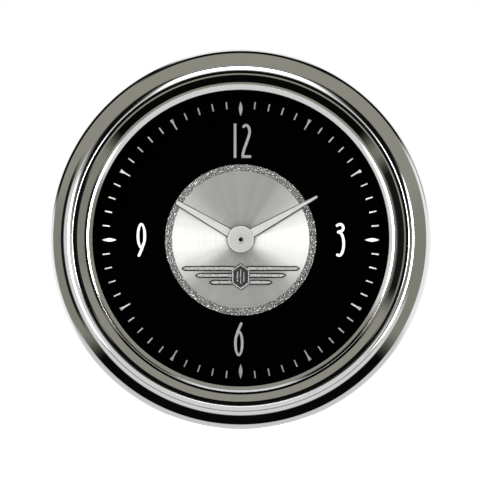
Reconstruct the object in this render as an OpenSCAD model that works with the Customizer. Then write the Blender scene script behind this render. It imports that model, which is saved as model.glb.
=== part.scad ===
// Dashboard clock for a round panel hole, with a stepping-motor movement and a clamp bracket.
// The dial faces -Y with twelve o'clock towards +Z. The origin lies on the clock's axis, in the
// plane where the bezel's rear lip meets the panel. Sizes are in millimetres.

/* [Bezel] */
// Outside diameter of the bezel
bezel_d = 60.3; // [56:0.1:66]
// Height of the bezel's crest in front of the panel
bezel_h = 7.4; // [7:0.1:9]
// Width of the bezel's face, from its outer edge to the clear opening
face_w = 6.65; // [6.2:0.05:7.2]
// Height of the straight skirt before the outer roll begins
skirt_h = 3; // [2:0.1:4]
// Wall of the skirt and of the crimped rear lip
bezel_wall = 0.8; // [0.6:0.05:0.9]
// Width of the inner lip
lip_w = 1.35; // [1:0.05:1.5]
// Width of the middle bead
bead_w = 1.6; // [1.2:0.05:1.8]
// Width of the crest band outside the bead
crest_w = 1.1; // [0.8:0.05:1.3]

/* [Glass and case] */
// Thickness of the flat glass
lens_t = 1.6; // [1.2:0.1:1.9]
// Thickness of the seal under the glass rim
gasket_t = 0.6; // [0.5:0.05:0.9]
// Width of the seat on the panel, from the case barrel to the bezel's outer edge
seat_w = 3.5; // [3.2:0.05:3.9]
// Sheet thickness of the case
case_wall = 0.8; // [0.6:0.05:0.9]
// Radius of the case's rear corner
case_corner = 2; // [1.2:0.1:2.6]
// Free depth behind the movement
rear_space = 12; // [11.5:0.1:14]

/* [Dial] */
// Depth of the dial face behind the panel plane
dial_recess = 1; // [0.8:0.1:1.6]
// Thickness of the dial plate
dial_t = 0.8; // [0.5:0.1:1]
// Thickness of the light diffuser behind the dial
diffuser_t = 1.2; // [0.8:0.1:1.5]
// Gap between the numerals and the turned centre disc
disc_gap = 1; // [0.6:0.05:2]
// Thickness of the centre disc
disc_t = 0.8; // [0.6:0.05:0.9]
// Width of the disc's bevelled border
disc_border = 1.1; // [0.8:0.05:1.5]
// Gap between the opening's edge and the minute marks
track_gap = 1.35; // [1:0.05:2]
// Length of the marks at the quarters
mark_len = 2.35; // [2:0.05:2.8]
// Height of the numerals
numeral_h = 5.6; // [4.6:0.1:6]
// Stroke width of the numerals
numeral_w = 0.42; // [0.36:0.02:0.75]
// Gap between the minute marks and the numerals
numeral_gap = 1.15; // [0.8:0.05:1.6]
// Thickness of the printed marks
print_t = 0.05; // [0.04:0.01:0.08]
// Thickness of the ornament's bars
ornament_t = 0.4; // [0.3:0.05:0.45]

/* [Hands] */
// Length of the minute hand from the axis
minute_len = 14.1; // [12.5:0.1:15]
// Length of the hour hand from the axis
hour_len = 12; // [10:0.1:12.4]
// Width of the minute hand at the hub
minute_w = 1.75; // [1.4:0.05:2]
// Width of the hour hand at the hub
hour_w = 1.65; // [1.3:0.05:1.9]
// Thickness of a hand
hand_t = 0.3; // [0.2:0.02:0.32]
// Radius of the minute hand's hub
hub_r = 2.2; // [2:0.05:2.5]
// Where the minute hand points at rest, in degrees clockwise from twelve
minute_at = 60.8; // [0:0.2:360]
// Where the hour hand points at rest, in degrees clockwise from twelve
hour_at = 300.2; // [0:0.2:360]

/* [Movement] */
// Brass left on the movement plates outside the outermost stator post
plate_margin = 1.75; // [1.4:0.05:2.4]
// Thickness of a movement plate
plate_t = 1.2; // [1:0.05:1.5]
// Space between the diffuser and the front plate
motion_space = 4; // [3.9:0.1:5]
// Space between the plates
train_space = 8.8; // [8.6:0.1:10]
// Thickness of a train wheel
wheel_t = 0.8; // [0.6:0.05:0.9]
// Radius of a pillar between the plates
pillar_r = 1.5; // [1.3:0.05:1.8]
// Shank radius of the plate screws
plate_screw_r = 0.8; // [0.7:0.02:0.9]
// Radius of the wheel pivots
pivot_r = 0.35; // [0.3:0.01:0.4]
// Radius of the setting stem
stem_r = 1; // [0.8:0.02:1.2]
// Radius of the rotor magnet
magnet_r = 1.5; // [1.2:0.05:1.6]
// Radius of the coil's end flanges
coil_r = 3; // [2.6:0.05:3.2]
// Length of the coil over its end flanges
coil_len = 12; // [11:0.1:13]

/* [Rear] */
// Thickness of the circuit board
board_t = 1.2; // [0.8:0.1:1.6]
// Diameter of the circuit board
board_d = 38; // [37.6:0.1:42]
// Distance from the back plate to the board
board_gap = 3.3; // [2.6:0.1:4]
// Half the distance between the mounting studs
stud_x = 13; // [12.6:0.1:13.4]
// Radius of a mounting stud
stud_r = 2; // [1.6:0.05:2.2]
// How far the studs stand out behind the case
stud_out = 19; // [18:0.5:24]
// Radius of the standoff posts inside the case
post_r = 3; // [2.8:0.05:3.3]
// Radius of the setting knob
knob_r = 4.5; // [3.8:0.1:5]
// Length of the setting knob
knob_len = 6; // [4.5:0.1:8]
// Width of a blade terminal
blade_w = 6.3; // [4.8:0.1:6.4]
// Thickness of a blade terminal
blade_t = 0.8; // [0.5:0.05:0.9]
// Radius of the lamp socket's body
lamp_r = 4.5; // [4:0.05:4.8]

/* [Bracket] */
// Width of the clamp bracket
bracket_w = 14; // [10:0.5:15]
// Sheet thickness of the bracket
bracket_t = 1.5; // [1.2:0.1:2]
// Gap between the barrel and a bracket leg
bracket_gap = 1.35; // [1.2:0.05:2]
// Panel thickness that the bracket is drawn set for
panel_t = 2.5; // [2.2:0.1:4]
// Gap between the case and the bracket's strap
strap_gap = 3; // [2.8:0.1:5]
// Radius of a thumb nut
thumb_r = 5; // [4:0.1:5.5]
// Height of a thumb nut
thumb_h = 5; // [4:0.1:6]

/* [Fits] */
// Running clearance of a shaft in its hole
run_fit = 0.03; // [0.02:0.005:0.05]
// Clearance of pieces that are pressed or screwed together
press_fit = 0.01; // [0.01:0.005:0.02]
// Clearance of a screw shank in its hole
screw_fit = 0.05; // [0.03:0.01:0.08]
// Loose clearance round parts that drop in
loose_fit = 0.1; // [0.08:0.01:0.15]

/* [Hidden] */
$fn = 96;

// Radii of the bezel's steps, from the inside out
bezel_r = bezel_d / 2;
lip_r = bezel_r - face_w;
bead_in_r = lip_r + lip_w;
bead_out_r = bead_in_r + bead_w;
band_r = bead_out_r + crest_w;
case_r = bezel_r - seat_w;
case_in_r = case_r - case_wall;
skirt_in_r = bezel_r - bezel_wall;
crimp_r = case_r + 0.9;
flange_r = skirt_in_r - 0.45;
lens_r = case_r - 0.05;

// Radii of the dial's rings, from the opening inwards
track_r = lip_r - track_gap;
numeral_r = track_r - mark_len - numeral_gap - numeral_h / 2;
disc_r = numeral_r - numeral_h / 2 - disc_gap;
disc_flat_r = disc_r - disc_border;

// Depths along the axis, from the glass to the rear; the panel plane is at zero
flange_back = -bezel_wall;
flange_front = flange_back - case_wall;
lens_back = flange_front - gasket_t;
lens_front = lens_back - lens_t;
lip_top = -bezel_h + 0.58;
bead_top = -bezel_h + 0.17;
dial_front = dial_recess;
dial_back = dial_front + dial_t;
diffuser_back = dial_back + diffuser_t;
disc_front = dial_front - disc_t;
ornament_front = disc_front - ornament_t;
hour_back = ornament_front - 0.25;
hour_front = hour_back - hand_t;
minute_back = hour_front - 0.35;
minute_front = minute_back - hand_t;
hub_front = minute_front - 0.12;
plate1_front = diffuser_back + motion_space;
plate1_back = plate1_front + plate_t;
plate2_front = plate1_back + train_space;
plate2_back = plate2_front + plate_t;
board_front = plate2_back + board_gap;
board_back = board_front + board_t;
case_in = plate2_back + rear_space;
case_out = case_in + case_wall;
strap_front = case_out + strap_gap;
strap_back = strap_front + bracket_t;
washer_t = 0.8;
nut_front = strap_back + washer_t;
stud_end = case_out + stud_out;

// Tooth counts of the hand gearing and of the going train
cannon_n = 15;
minute_wheel_n = 45;
minute_pinion_n = 12;
hour_n = 48;
stem_n = 15;
centre_n = 80;
third_pinion_n = 10;
third_n = 75;
seconds_pinion_n = 10;
seconds_n = 50;
inter_pinion_n = 10;
inter_n = 60;
rotor_n = 10;

// Tooth modules of the meshing pairs
motion_m = 0.3;
centre_m = 0.2;
third_m = 0.2;
seconds_m = 0.25;
inter_m = 0.2;

// Tooth form: flank pressure angle, height above and below the pitch circle, play
flank_angle = 25;
tooth_top = 0.75;
tooth_root = 1.1;
tooth_play = 0.05;

// Directions from one axis to the next, in degrees anticlockwise from three o'clock
minute_dir = 210;
stem_dir = 270;
third_dir = 30;
seconds_dir = 110;
inter_dir = 185;
rotor_dir = 200;

function toward(p, len, dir) = [p[0] + len * cos(dir), p[1] + len * sin(dir)];
function reach(n1, n2, m) = m * (n1 + n2) / 2;

// Places of the axes across the clock, as x and z
centre_at = [0, 0];
minute_wheel_at = toward(centre_at, reach(cannon_n, minute_wheel_n, motion_m), minute_dir);
stem_at = toward(minute_wheel_at, reach(minute_wheel_n, stem_n, motion_m), stem_dir);
third_at = toward(centre_at, reach(centre_n, third_pinion_n, centre_m), third_dir);
seconds_at = toward(third_at, reach(third_n, seconds_pinion_n, third_m), seconds_dir);
inter_at = toward(seconds_at, reach(seconds_n, inter_pinion_n, seconds_m), inter_dir);
rotor_at = toward(inter_at, reach(inter_n, rotor_n, inter_m), rotor_dir);
stud_places = [[-stud_x, 0], [stud_x, 0]];
board_screw_places = [[-14, 7], [14, 7], [0, -12]];
lamp_at = [0, case_in_r - 10.85];
block_at = [8, 12.35 - case_in_r];
coil_at = [-16.5, -1.5];
coil_screw_places = [for (s = [-1, 1]) [coil_at[0], coil_at[1] + s * (coil_len / 2 + 1.6)]];
stator_post_r = 1.4;
plate_r = norm(coil_screw_places[0]) + stator_post_r + plate_margin;
pillar_ring = plate_r - 2;
pillar_places = [for (a = [45, 135, 225, 315]) toward(centre_at, pillar_ring, a)];

// A gear that meshes with one turned to angle a has its own tooth at this angle
function meshed(a, n1, n2, dir) = dir + 180 + 180 / n2 - (a - dir) * n1 / n2;
minute_wheel_turn = meshed(0, cannon_n, minute_wheel_n, minute_dir);
stem_turn = meshed(minute_wheel_turn, minute_wheel_n, stem_n, stem_dir);
hour_turn = meshed(0, minute_pinion_n, hour_n, minute_dir + 180);
third_turn = meshed(0, centre_n, third_pinion_n, third_dir);
seconds_turn = meshed(0, third_n, seconds_pinion_n, seconds_dir);
inter_turn = meshed(0, seconds_n, inter_pinion_n, inter_dir);
rotor_turn = meshed(0, inter_n, rotor_n, rotor_dir);

// Depths of the hand gearing and of the four levels of the train
motion_back = plate1_front - 0.4;
motion_front = motion_back - 1.2;
hour_wheel_back = motion_front - 0.6;
hour_wheel_front = hour_wheel_back - 1;
level_step = (train_space - 2 - wheel_t) / 3;
function level(k) = plate1_back + 1 + k * level_step;
magnet_back = level(3) - 0.8;
magnet_front = magnet_back - 3;
stator_t = 0.8;
stator_front = (magnet_front + magnet_back) / 2 - stator_t / 2;
stator_back = stator_front + stator_t;
core_front = stator_front - stator_t;

// Bores of the hand gearing
arbor_r = 0.5;
arbor_tip_r = 0.3;
cannon_bore_r = arbor_tip_r + run_fit;
cannon_seat_r = 0.6;
cannon_pipe_r = 0.9;
hour_bore_r = cannon_pipe_r + run_fit;
hour_seat_r = 1.3;
hour_pipe_r = 1.6;
dial_hole_r = hour_pipe_r + 0.4;
knob_front = case_out + 1.6;
bush_r = stem_r + 1.4;

// Turns a profile drawn as radius and depth about an axis at p
module lathe(p = [0, 0]) {
    translate([p[0], 0, p[1]]) rotate([-90, 0, 0]) rotate_extrude() children();
}

// Stands a drawing seen from the front between two depths
module slab(y0, y1) {
    translate([0, y1, 0]) rotate([90, 0, 0]) linear_extrude(y1 - y0) children();
}

// Round bar along the depth at p
module pin(p, r, y0, y1) {
    translate([p[0], y0, p[1]]) rotate([-90, 0, 0]) cylinder(r = r, h = y1 - y0);
}

// Flat bar from p to q
module strip(p, q, w) {
    d = q - p;
    translate(p) rotate(atan2(d[1], d[0])) translate([0, -w / 2]) square([norm(d), w]);
}

// Tooth flank: half the tooth's angle at radius r, for a base circle b
function roll(r, b) = r <= b ? 0 : sqrt(r * r / (b * b) - 1) * 180 / PI - acos(b / r);
function half_tooth(n, m, r, b) =
    90 / n - tooth_play / (n * m) * 90 / PI + roll(n * m / 2, b) - roll(r, b);
function gear_points(n, m) =
    let (p = n * m / 2, b = p * cos(flank_angle), top = p + tooth_top * m, low = p - tooth_root * m)
    let (start = max(b, low), radii = [low, for (i = [0:3]) start + (top - start) * i / 3])
    [for (k = [0:n - 1]) each concat(
        [for (r = radii) let (a = k * 360 / n - half_tooth(n, m, r, b)) [r * cos(a), r * sin(a)]],
        [for (i = [4:-1:0]) let (r = radii[i], a = k * 360 / n + half_tooth(n, m, r, b))
            [r * cos(a), r * sin(a)]])];

// Toothed wheel at p with a tooth pointing along turn
module gear(p, n, m, turn, y0, y1) {
    slab(y0, y1) translate(p) rotate(turn) polygon(gear_points(n, m));
}

// Knurled outline
module knurl(r, n) {
    polygon([for (i = [0:2 * n - 1]) let (q = r - (i % 2) * r * 0.06, a = 180 * i / n)
        [q * cos(a), q * sin(a)]]);
}

// Points along part of an ellipse
function sweep(c, rx, ry, a0, a1, n) =
    [for (i = [0:n]) let (a = a0 + (a1 - a0) * i / n) [c[0] + rx * cos(a), c[1] + ry * sin(a)]];

// Ribbon of even width along a line of points, with round ends
function heading(line, i) =
    let (d = line[min(i + 1, len(line) - 1)] - line[max(i - 1, 0)]) atan2(d[1], d[0]);
function beside(line, i, side, r) = let (a = heading(line, i) + side) line[i] + r * [cos(a), sin(a)];
function ribbon_points(line, r) = let (n = len(line) - 1) concat(
    [for (i = [0:n]) beside(line, i, 90, r)],
    [for (a = [60:-30:-60]) beside(line, n, a, r)],
    [for (i = [n:-1:0]) beside(line, i, -90, r)],
    [for (a = [-120:-30:-240]) beside(line, 0, a, r)]);
module ribbon(line, w) {
    polygon(ribbon_points(line, w / 2));
}

// Stepped ring: outer roll, crest band, sharp middle bead and inner lip, with a crimped rear lip
module bezel() {
    bezel_points = concat(
        [[crimp_r, 0], [bezel_r, 0]],
        sweep([band_r - 0.65, -skirt_h], bezel_r - band_r + 0.65, -(bezel_h - skirt_h), 0, 81, 12),
        [[band_r - 0.29, -bezel_h + 0.17], [band_r - 0.39, -bezel_h + 0.04],
         [band_r - 0.9, -bezel_h], [band_r - 1.09, -bezel_h + 0.03],
         [band_r - 1.15, -bezel_h + 0.6], [band_r - 1.25, -bezel_h + 0.6],
         [bead_out_r - 0.19, -bezel_h + 0.41], [bead_out_r - 0.65, bead_top],
         [bead_out_r - 1.23, bead_top + 0.31], [bead_in_r - 0.15, lip_top + 0.28],
         [bead_in_r - 0.51, lip_top]],
        sweep([lip_r + 0.14, lip_top + 0.29], 0.14, -0.16, 95, 180, 5),
        [[lip_r + 0.1, lip_top + 1.2], [lip_r + 0.6, lens_front], [skirt_in_r, lens_front],
         [skirt_in_r, flange_back], [crimp_r, flange_back]]);
    color("silver") lathe() polygon(bezel_points);
}

// Flat clear glass
module lens() {
    color("lightcyan", 0.3) pin(centre_at, lens_r, lens_front, lens_back);
}

// Angled seal behind and round the glass
module lens_gasket() {
    color("dimgray") lathe() polygon([[case_in_r + 0.1, flange_front], [flange_r, flange_front],
        [flange_r, lens_front + 0.05], [case_r, lens_front + 0.05], [case_r, lens_back],
        [case_in_r + 0.1, lens_back]]);
}

// Black spacer between the glass and the dial
module trim_ring() {
    color("black") lathe() polygon([[case_in_r - loose_fit, lens_back], [lip_r + 0.9, lens_back],
        [lip_r + 0.5, dial_front], [case_in_r - loose_fit, dial_front]]);
}

// Black dial with its centre hole
module dial_plate() {
    color("black") lathe() polygon([[dial_hole_r, dial_front], [case_in_r - 0.15, dial_front],
        [case_in_r - 0.15, dial_back], [dial_hole_r, dial_back]]);
}

// Minute marks: narrow ticks, wedges at the fives, lens shapes at the quarters
module minute_track() {
    color("white") slab(dial_front - print_t, dial_front) for (k = [0:59]) rotate(90 - k * 6) {
        if (k % 15 == 0) polygon(concat(
            [for (i = [0:8]) [track_r - mark_len * (1 - i / 8), -0.28 * sin(22.5 * i)]],
            [for (i = [7:-1:1]) [track_r - mark_len * (1 - i / 8), 0.28 * sin(22.5 * i)]]));
        else if (k % 5 == 0) polygon([[track_r - 1.8, -0.1], [track_r - 0.8, -0.12], [track_r, -0.28],
            [track_r, 0.28], [track_r - 0.8, 0.12], [track_r - 1.8, 0.1]]);
        else translate([track_r - 1.15, -0.105]) square([1.15, 0.21]);
    }
}

// Centre lines of the numerals' strokes, on a body one unit high
two_line = concat(sweep([-0.005, 0.26], 0.105, 0.185, 130, -20, 9),
    [[0.07, 0.11], [0.015, -0.05], [-0.05, -0.22], [-0.088, -0.36], [-0.095, -0.42]]);
three_upper = concat(sweep([-0.005, 0.34], 0.1, 0.105, 140, -50, 9), [[-0.05, 0.225]]);
three_lower = concat([[-0.05, 0.225]], sweep([-0.02, -0.115], 0.125, 0.33, 68, -90, 10), [[-0.075, -0.43]]);
six_stem = [[0.07, 0.445], [0.03, 0.36], [-0.025, 0.23], [-0.062, 0.1]];

// Ribbon closed to an upright loop
module loop(c, rx, ry, w) {
    difference() {
        polygon(sweep(c, rx + w / 2, ry + w / 2, 0, 350, 35));
        polygon(sweep(c, rx - w / 2, ry - w / 2, 0, 350, 35));
    }
}

// Six: a long loop with a leaning stem
module six(h, w) {
    union() {
        loop([0, -0.115 * h], 0.096 * h, 0.33 * h, w);
        ribbon(six_stem * h, w);
    }
}

// Narrow rounded numerals at the quarters
module numerals() {
    h = numeral_h;
    w = numeral_w;
    color("white") slab(dial_front - print_t, dial_front) {
        translate([-0.9, numeral_r]) square([w, 0.98 * h], center = true);
        translate([0.87, numeral_r]) union() {
            ribbon(two_line * h, w);
            translate([-0.095 * h - w / 2, -0.49 * h]) square([0.2 * h + w, w]);
        }
        translate([numeral_r, 0]) union() {
            ribbon(three_upper * h, w);
            ribbon(three_lower * h, w);
        }
        translate([-0.3, -numeral_r]) six(h, w);
        translate([-numeral_r, 0]) rotate(180) six(h, w);
    }
}

// Turned disc with a bevelled border
module centre_disc() {
    color("gainsboro") lathe() polygon([[dial_hole_r, disc_front], [disc_flat_r, disc_front],
        [disc_r, disc_front + 0.5 * disc_t], [disc_r, dial_front], [dial_hole_r, dial_front]]);
}

// Outline of the upright six-sided plaque, grown by g
function plaque_points(g) =
    let (w = 0.137 * disc_flat_r + g, h = 0.2 * disc_flat_r + g, s = 0.1 * disc_flat_r)
    [[-w, -s], [0, -h], [w, -s], [w, s], [0, h], [-w, s]];
plaque_at = [0, -0.54 * disc_flat_r];
plaque_rim = 0.041 * disc_flat_r;

// Three stepped bars with pointed ends and the rim round the plaque
module disc_ornament() {
    color("silver") slab(ornament_front, disc_front) difference() {
        union() {
            for (k = [0:2]) translate([0, -(0.42 + 0.1 * k) * disc_flat_r]) {
                half = (0.877 - 0.2 * k) * disc_flat_r;
                high = 0.0275 * disc_flat_r;
                tip = 0.064 * disc_flat_r;
                polygon([[-half, 0], [-half + tip, -high], [half - tip, -high], [half, 0],
                    [half - tip, high], [-half + tip, high]]);
            }
            translate(plaque_at) polygon(plaque_points(plaque_rim));
        }
        translate(plaque_at) polygon(plaque_points(0));
    }
}

// Dark enamel set in the ornament's rim
module ornament_plaque() {
    color("black") slab(ornament_front + 0.08, disc_front) translate(plaque_at)
        polygon(plaque_points(-press_fit));
}

// Translucent disc that spreads the lamp's light behind the dial
module light_diffuser() {
    color("ivory") lathe() polygon([[dial_hole_r + 0.5, dial_back], [case_in_r - 0.15, dial_back],
        [case_in_r - 0.15, diffuser_back], [dial_hole_r + 0.5, diffuser_back]]);
}

// Flanged cup with openings in its back
module case() {
    corner = sweep([case_r - case_corner, case_out - case_corner], case_corner, case_corner, 0, 90, 6);
    in_corner = sweep([case_r - case_corner, case_out - case_corner], case_corner - case_wall,
        case_corner - case_wall, 90, 0, 6);
    color("#2b2b2b") difference() {
        lathe() polygon(concat([[case_in_r, flange_front], [flange_r, flange_front],
            [flange_r, flange_back], [case_r, flange_back]], corner,
            [[0, case_out], [0, case_in]], in_corner));
        for (p = stud_places) pin(p, stud_r + press_fit, case_in - 1, case_out + 1);
        pin(stem_at, bush_r + press_fit, case_in - 1, case_out + 1);
        pin(lamp_at, lamp_r + loose_fit, case_in - 1, case_out + 1);
        slab(case_in - 1, case_out + 1) translate(lamp_at) intersection() {
            circle(r = lamp_r + 1.7);
            square([4.2, 20], center = true);
        }
        slab(case_in - 1, case_out + 1) translate(block_at)
            square([10.6 + 2 * press_fit, blade_w + 2.3 + 2 * press_fit], center = true);
    }
}

// Threaded posts that carry the dial on the front plate
module dial_posts() {
    color("goldenrod") for (p = pillar_places) difference() {
        pin(p, pillar_r, diffuser_back, plate1_front);
        pin(p, plate_screw_r + press_fit, plate1_front - 2.8, plate1_front + 1);
    }
}

// Brass plate behind the dial
module front_plate() {
    color("goldenrod") difference() {
        pin(centre_at, plate_r, plate1_front, plate1_back);
        for (p = pillar_places) pin(p, plate_screw_r + screw_fit, plate1_front - 1, plate1_back + 1);
        pin(centre_at, arbor_r + run_fit, plate1_front - 1, plate1_back + 1);
        pin(stem_at, stem_r + run_fit, plate1_front - 1, plate1_back + 1);
        pin(minute_wheel_at, 0.5 + press_fit, plate1_front - 1, plate1_back + 1);
        for (p = [third_at, seconds_at, inter_at, rotor_at])
            pin(p, pivot_r + run_fit, plate1_front - 1, plate1_back + 1);
    }
}

// Rear brass plate, threaded for the studs and the board screws
module back_plate() {
    color("goldenrod") difference() {
        pin(centre_at, plate_r, plate2_front, plate2_back);
        for (p = pillar_places) pin(p, plate_screw_r + screw_fit, plate2_front - 1, plate2_back + 1);
        for (p = stud_places) pin(p, stud_r + press_fit, plate2_front - 1, plate2_back + 1);
        for (p = board_screw_places) pin(p, 0.6 + press_fit, plate2_front - 1, plate2_back + 1);
        for (p = coil_screw_places) pin(p, 0.7 + press_fit, plate2_front - 1, plate2_back + 1);
        pin(centre_at, arbor_r + run_fit, plate2_front - 1, plate2_back + 1);
        pin(stem_at, stem_r + run_fit, plate2_front - 1, plate2_back + 1);
        for (p = [third_at, seconds_at, inter_at, rotor_at])
            pin(p, pivot_r + run_fit, plate2_front - 1, plate2_back + 1);
    }
}

// Bored pillars between the plates
module plate_pillars() {
    color("goldenrod") for (p = pillar_places) difference() {
        pin(p, pillar_r, plate1_back, plate2_front);
        pin(p, plate_screw_r + screw_fit, plate1_back - 1, plate2_front + 1);
    }
}

// Long screws from the rear through both plates into the dial posts
module plate_screws() {
    color("silver") for (p = pillar_places) difference() {
        union() {
            pin(p, plate_screw_r, plate1_front - 2.6, plate2_back);
            pin(p, plate_screw_r + 0.8, plate2_back, plate2_back + 1);
        }
        translate([p[0], plate2_back + 1, p[1]]) cube([6, 0.8, 0.5], center = true);
    }
}

// Fixed post for the minute wheel, riveted into the front plate
module motion_post() {
    color("silver") {
        pin(minute_wheel_at, 0.5, hour_wheel_front - 0.4, plate1_back);
        pin(minute_wheel_at, 1.1, motion_back + 0.05, plate1_front);
    }
}

// Pipe with the pinion that turns with the minute hand
module cannon_pinion() {
    color("gold") difference() {
        union() {
            gear(centre_at, cannon_n, motion_m, 0, motion_front, motion_back);
            pin(centre_at, hour_pipe_r, hour_wheel_back + 0.05, motion_front);
            pin(centre_at, cannon_pipe_r, minute_back, motion_front);
            pin(centre_at, cannon_seat_r, hub_front, minute_back);
        }
        pin(centre_at, cannon_bore_r, hub_front - 1, motion_back + 1);
    }
}

// Tapered hand from near the hub to its rounded tip
module hand_blade(len, w0, w1) {
    polygon([[0, -w0 / 2], [len - w1 / 2, -w1 / 2], [len - w1 / 2, w1 / 2], [0, w0 / 2]]);
    translate([len - w1 / 2, 0]) circle(d = w1);
}

// Minute hand with its round hub, on the cannon pinion's seat
module minute_hand() {
    color("lightgray") difference() {
        union() {
            slab(minute_front, minute_back) rotate(90 - minute_at) hand_blade(minute_len, minute_w, 0.57);
            pin(centre_at, hub_r, hub_front, minute_back);
        }
        pin(centre_at, cannon_seat_r + press_fit, hub_front - 1, minute_back + 1);
    }
}

// Wheel with the pipe that carries the hour hand
module hour_wheel() {
    color("gold") difference() {
        union() {
            gear(centre_at, hour_n, motion_m, hour_turn, hour_wheel_front, hour_wheel_back);
            pin(centre_at, hour_pipe_r, hour_back, hour_wheel_back);
            pin(centre_at, hour_seat_r, hour_front, hour_back);
        }
        pin(centre_at, hour_bore_r, hour_front - 1, hour_wheel_back + 1);
    }
}

// Hour hand on the hour wheel's pipe
module hour_hand() {
    color("lightgray") slab(hour_front, hour_back) difference() {
        union() {
            rotate(90 - hour_at) hand_blade(hour_len, hour_w, 0.9);
            circle(r = hub_r - 0.1);
        }
        circle(r = hour_seat_r + press_fit);
    }
}

// Intermediate wheel and pinion of the hand gearing
module minute_wheel() {
    color("gold") difference() {
        union() {
            gear(minute_wheel_at, minute_wheel_n, motion_m, minute_wheel_turn, motion_front + 0.1,
                motion_back - 0.1);
            gear(minute_wheel_at, minute_pinion_n, motion_m, 0, hour_wheel_front - 0.2,
                motion_front + 0.1);
        }
        pin(minute_wheel_at, 0.5 + run_fit, hour_wheel_front - 1, plate1_front);
    }
}

// Setting stem with its pinion
module set_stem() {
    color("silver") {
        pin(stem_at, stem_r, motion_front - 0.6, knob_front + knob_len - 1.1);
        gear(stem_at, stem_n, motion_m, stem_turn, motion_front, motion_back);
    }
}

// Knurled knob at the rear end of the stem
module set_knob() {
    color("#222222") difference() {
        union() {
            slab(knob_front, knob_front + knob_len) translate(stem_at) knurl(knob_r, 30);
            pin(stem_at, knob_r * 0.8, knob_front + knob_len, knob_front + knob_len + 0.5);
        }
        pin(stem_at, stem_r + press_fit, knob_front - 1, knob_front + knob_len - 1);
    }
}

// Flanged bush for the stem in the case back
module stem_bush() {
    color("ivory") lathe(stem_at) polygon([[stem_r + run_fit, case_in - 0.8], [bush_r + 1, case_in - 0.8],
        [bush_r + 1, case_in], [bush_r, case_in], [bush_r, case_out + 0.4],
        [stem_r + run_fit, case_out + 0.4]]);
}

// Arbor with round pivots in both plates
module arbor(p, r) {
    pin(p, r, plate1_back + 0.05, plate2_front - 0.05);
    pin(p, pivot_r, plate1_front + 0.1, plate2_back - 0.1);
}

// Wheel on the long arbor that carries the cannon pinion
module centre_wheel() {
    color("gold") {
        gear(centre_at, centre_n, centre_m, 0, level(0), level(0) + wheel_t);
        pin(centre_at, 1.6, level(0) - 0.4, level(0) + wheel_t + 0.6);
        pin(centre_at, arbor_r, motion_back + 0.1, plate2_back + 0.2);
        pin(centre_at, arbor_tip_r, minute_back + 0.3, motion_back + 0.1);
    }
}

// Wheel with a pinion one level in front of it
module train_wheel(p, n, m, pinion_n, pinion_m, turn, k) {
    arbor(p, 0.45);
    gear(p, n, m, 0, level(k), level(k) + wheel_t);
    gear(p, pinion_n, pinion_m, turn, level(k - 1) - 0.2, level(k - 1) + wheel_t + 0.2);
}

module third_wheel() {
    color("gold") train_wheel(third_at, third_n, third_m, third_pinion_n, centre_m, third_turn, 1);
}

module seconds_wheel() {
    color("gold") train_wheel(seconds_at, seconds_n, seconds_m, seconds_pinion_n, third_m, seconds_turn, 2);
}

module intermediate_wheel() {
    color("gold") train_wheel(inter_at, inter_n, inter_m, inter_pinion_n, seconds_m, inter_turn, 3);
}

// Rotor arbor with its pinion
module rotor_pinion() {
    color("white") {
        arbor(rotor_at, 0.45);
        gear(rotor_at, rotor_n, inter_m, rotor_turn, level(3) - 0.2, level(3) + wheel_t + 0.2);
    }
}

// Round magnet on the rotor arbor
module rotor_magnet() {
    color("dimgray") difference() {
        pin(rotor_at, magnet_r, magnet_front, magnet_back);
        pin(rotor_at, 0.45 + press_fit, magnet_front - 1, magnet_back + 1);
    }
}

// Soft-iron pole plate round the rotor, with two arms to the coil core
module stator() {
    knee = [-11.2, coil_screw_places[0][1]];
    color("slategray") slab(stator_front, stator_back) difference() {
        union() {
            translate(rotor_at) circle(r = magnet_r + 2);
            strip(rotor_at, coil_screw_places[1], 2.4);
            strip(rotor_at, knee, 2.4);
            translate(knee) circle(d = 2.4);
            strip(knee, coil_screw_places[0], 2.4);
            for (p = coil_screw_places) translate(p) circle(r = stator_post_r);
        }
        translate(rotor_at) circle(r = magnet_r + 0.3);
        for (p = coil_screw_places) translate(p) circle(r = 0.55 + screw_fit);
    }
}

// Posts that hold the stator off the back plate
module stator_posts() {
    color("goldenrod") for (p = coil_screw_places) difference() {
        union() {
            pin(p, stator_post_r, stator_back, plate2_front);
            pin(p, 0.7, plate2_front, plate2_back);
        }
        pin(p, 0.55 + press_fit, stator_back - 1, plate2_front - 0.6);
    }
}

// Screws through the core and the stator
module stator_screws() {
    color("silver") for (p = coil_screw_places) difference() {
        union() {
            pin(p, 1.1, core_front - 0.8, core_front);
            pin(p, 0.55, core_front, plate2_front - 0.8);
        }
        translate([p[0], core_front - 0.8, p[1]]) cube([4, 0.6, 0.4], center = true);
    }
}

// Flat iron core of the coil
module coil_core() {
    color("slategray") slab(core_front, stator_front) difference() {
        translate(coil_at) square([2.4, coil_len + 6], center = true);
        for (p = coil_screw_places) translate(p) circle(r = 0.55 + screw_fit);
    }
}

// Upright tool for the coil's round pieces
module coil_round(r, half) {
    translate([coil_at[0], core_front + stator_t / 2, coil_at[1]])
        cylinder(r = r, h = 2 * half, center = true);
}

// Moulded former with end flanges
module coil_bobbin() {
    color("ivory") difference() {
        coil_round(coil_r, coil_len / 2);
        difference() {
            coil_round(coil_r + 1, coil_len / 2 - 0.6);
            coil_round(1.7, coil_len / 2);
        }
        translate([coil_at[0], core_front + stator_t / 2, coil_at[1]])
            cube([2.4 + 2 * press_fit, stator_t + 2 * press_fit, coil_len + 2], center = true);
    }
}

// Wound copper between the flanges
module coil_winding() {
    color("chocolate") difference() {
        coil_round(coil_r - 0.2, coil_len / 2 - 0.6);
        coil_round(1.7 + press_fit, coil_len);
    }
}

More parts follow.
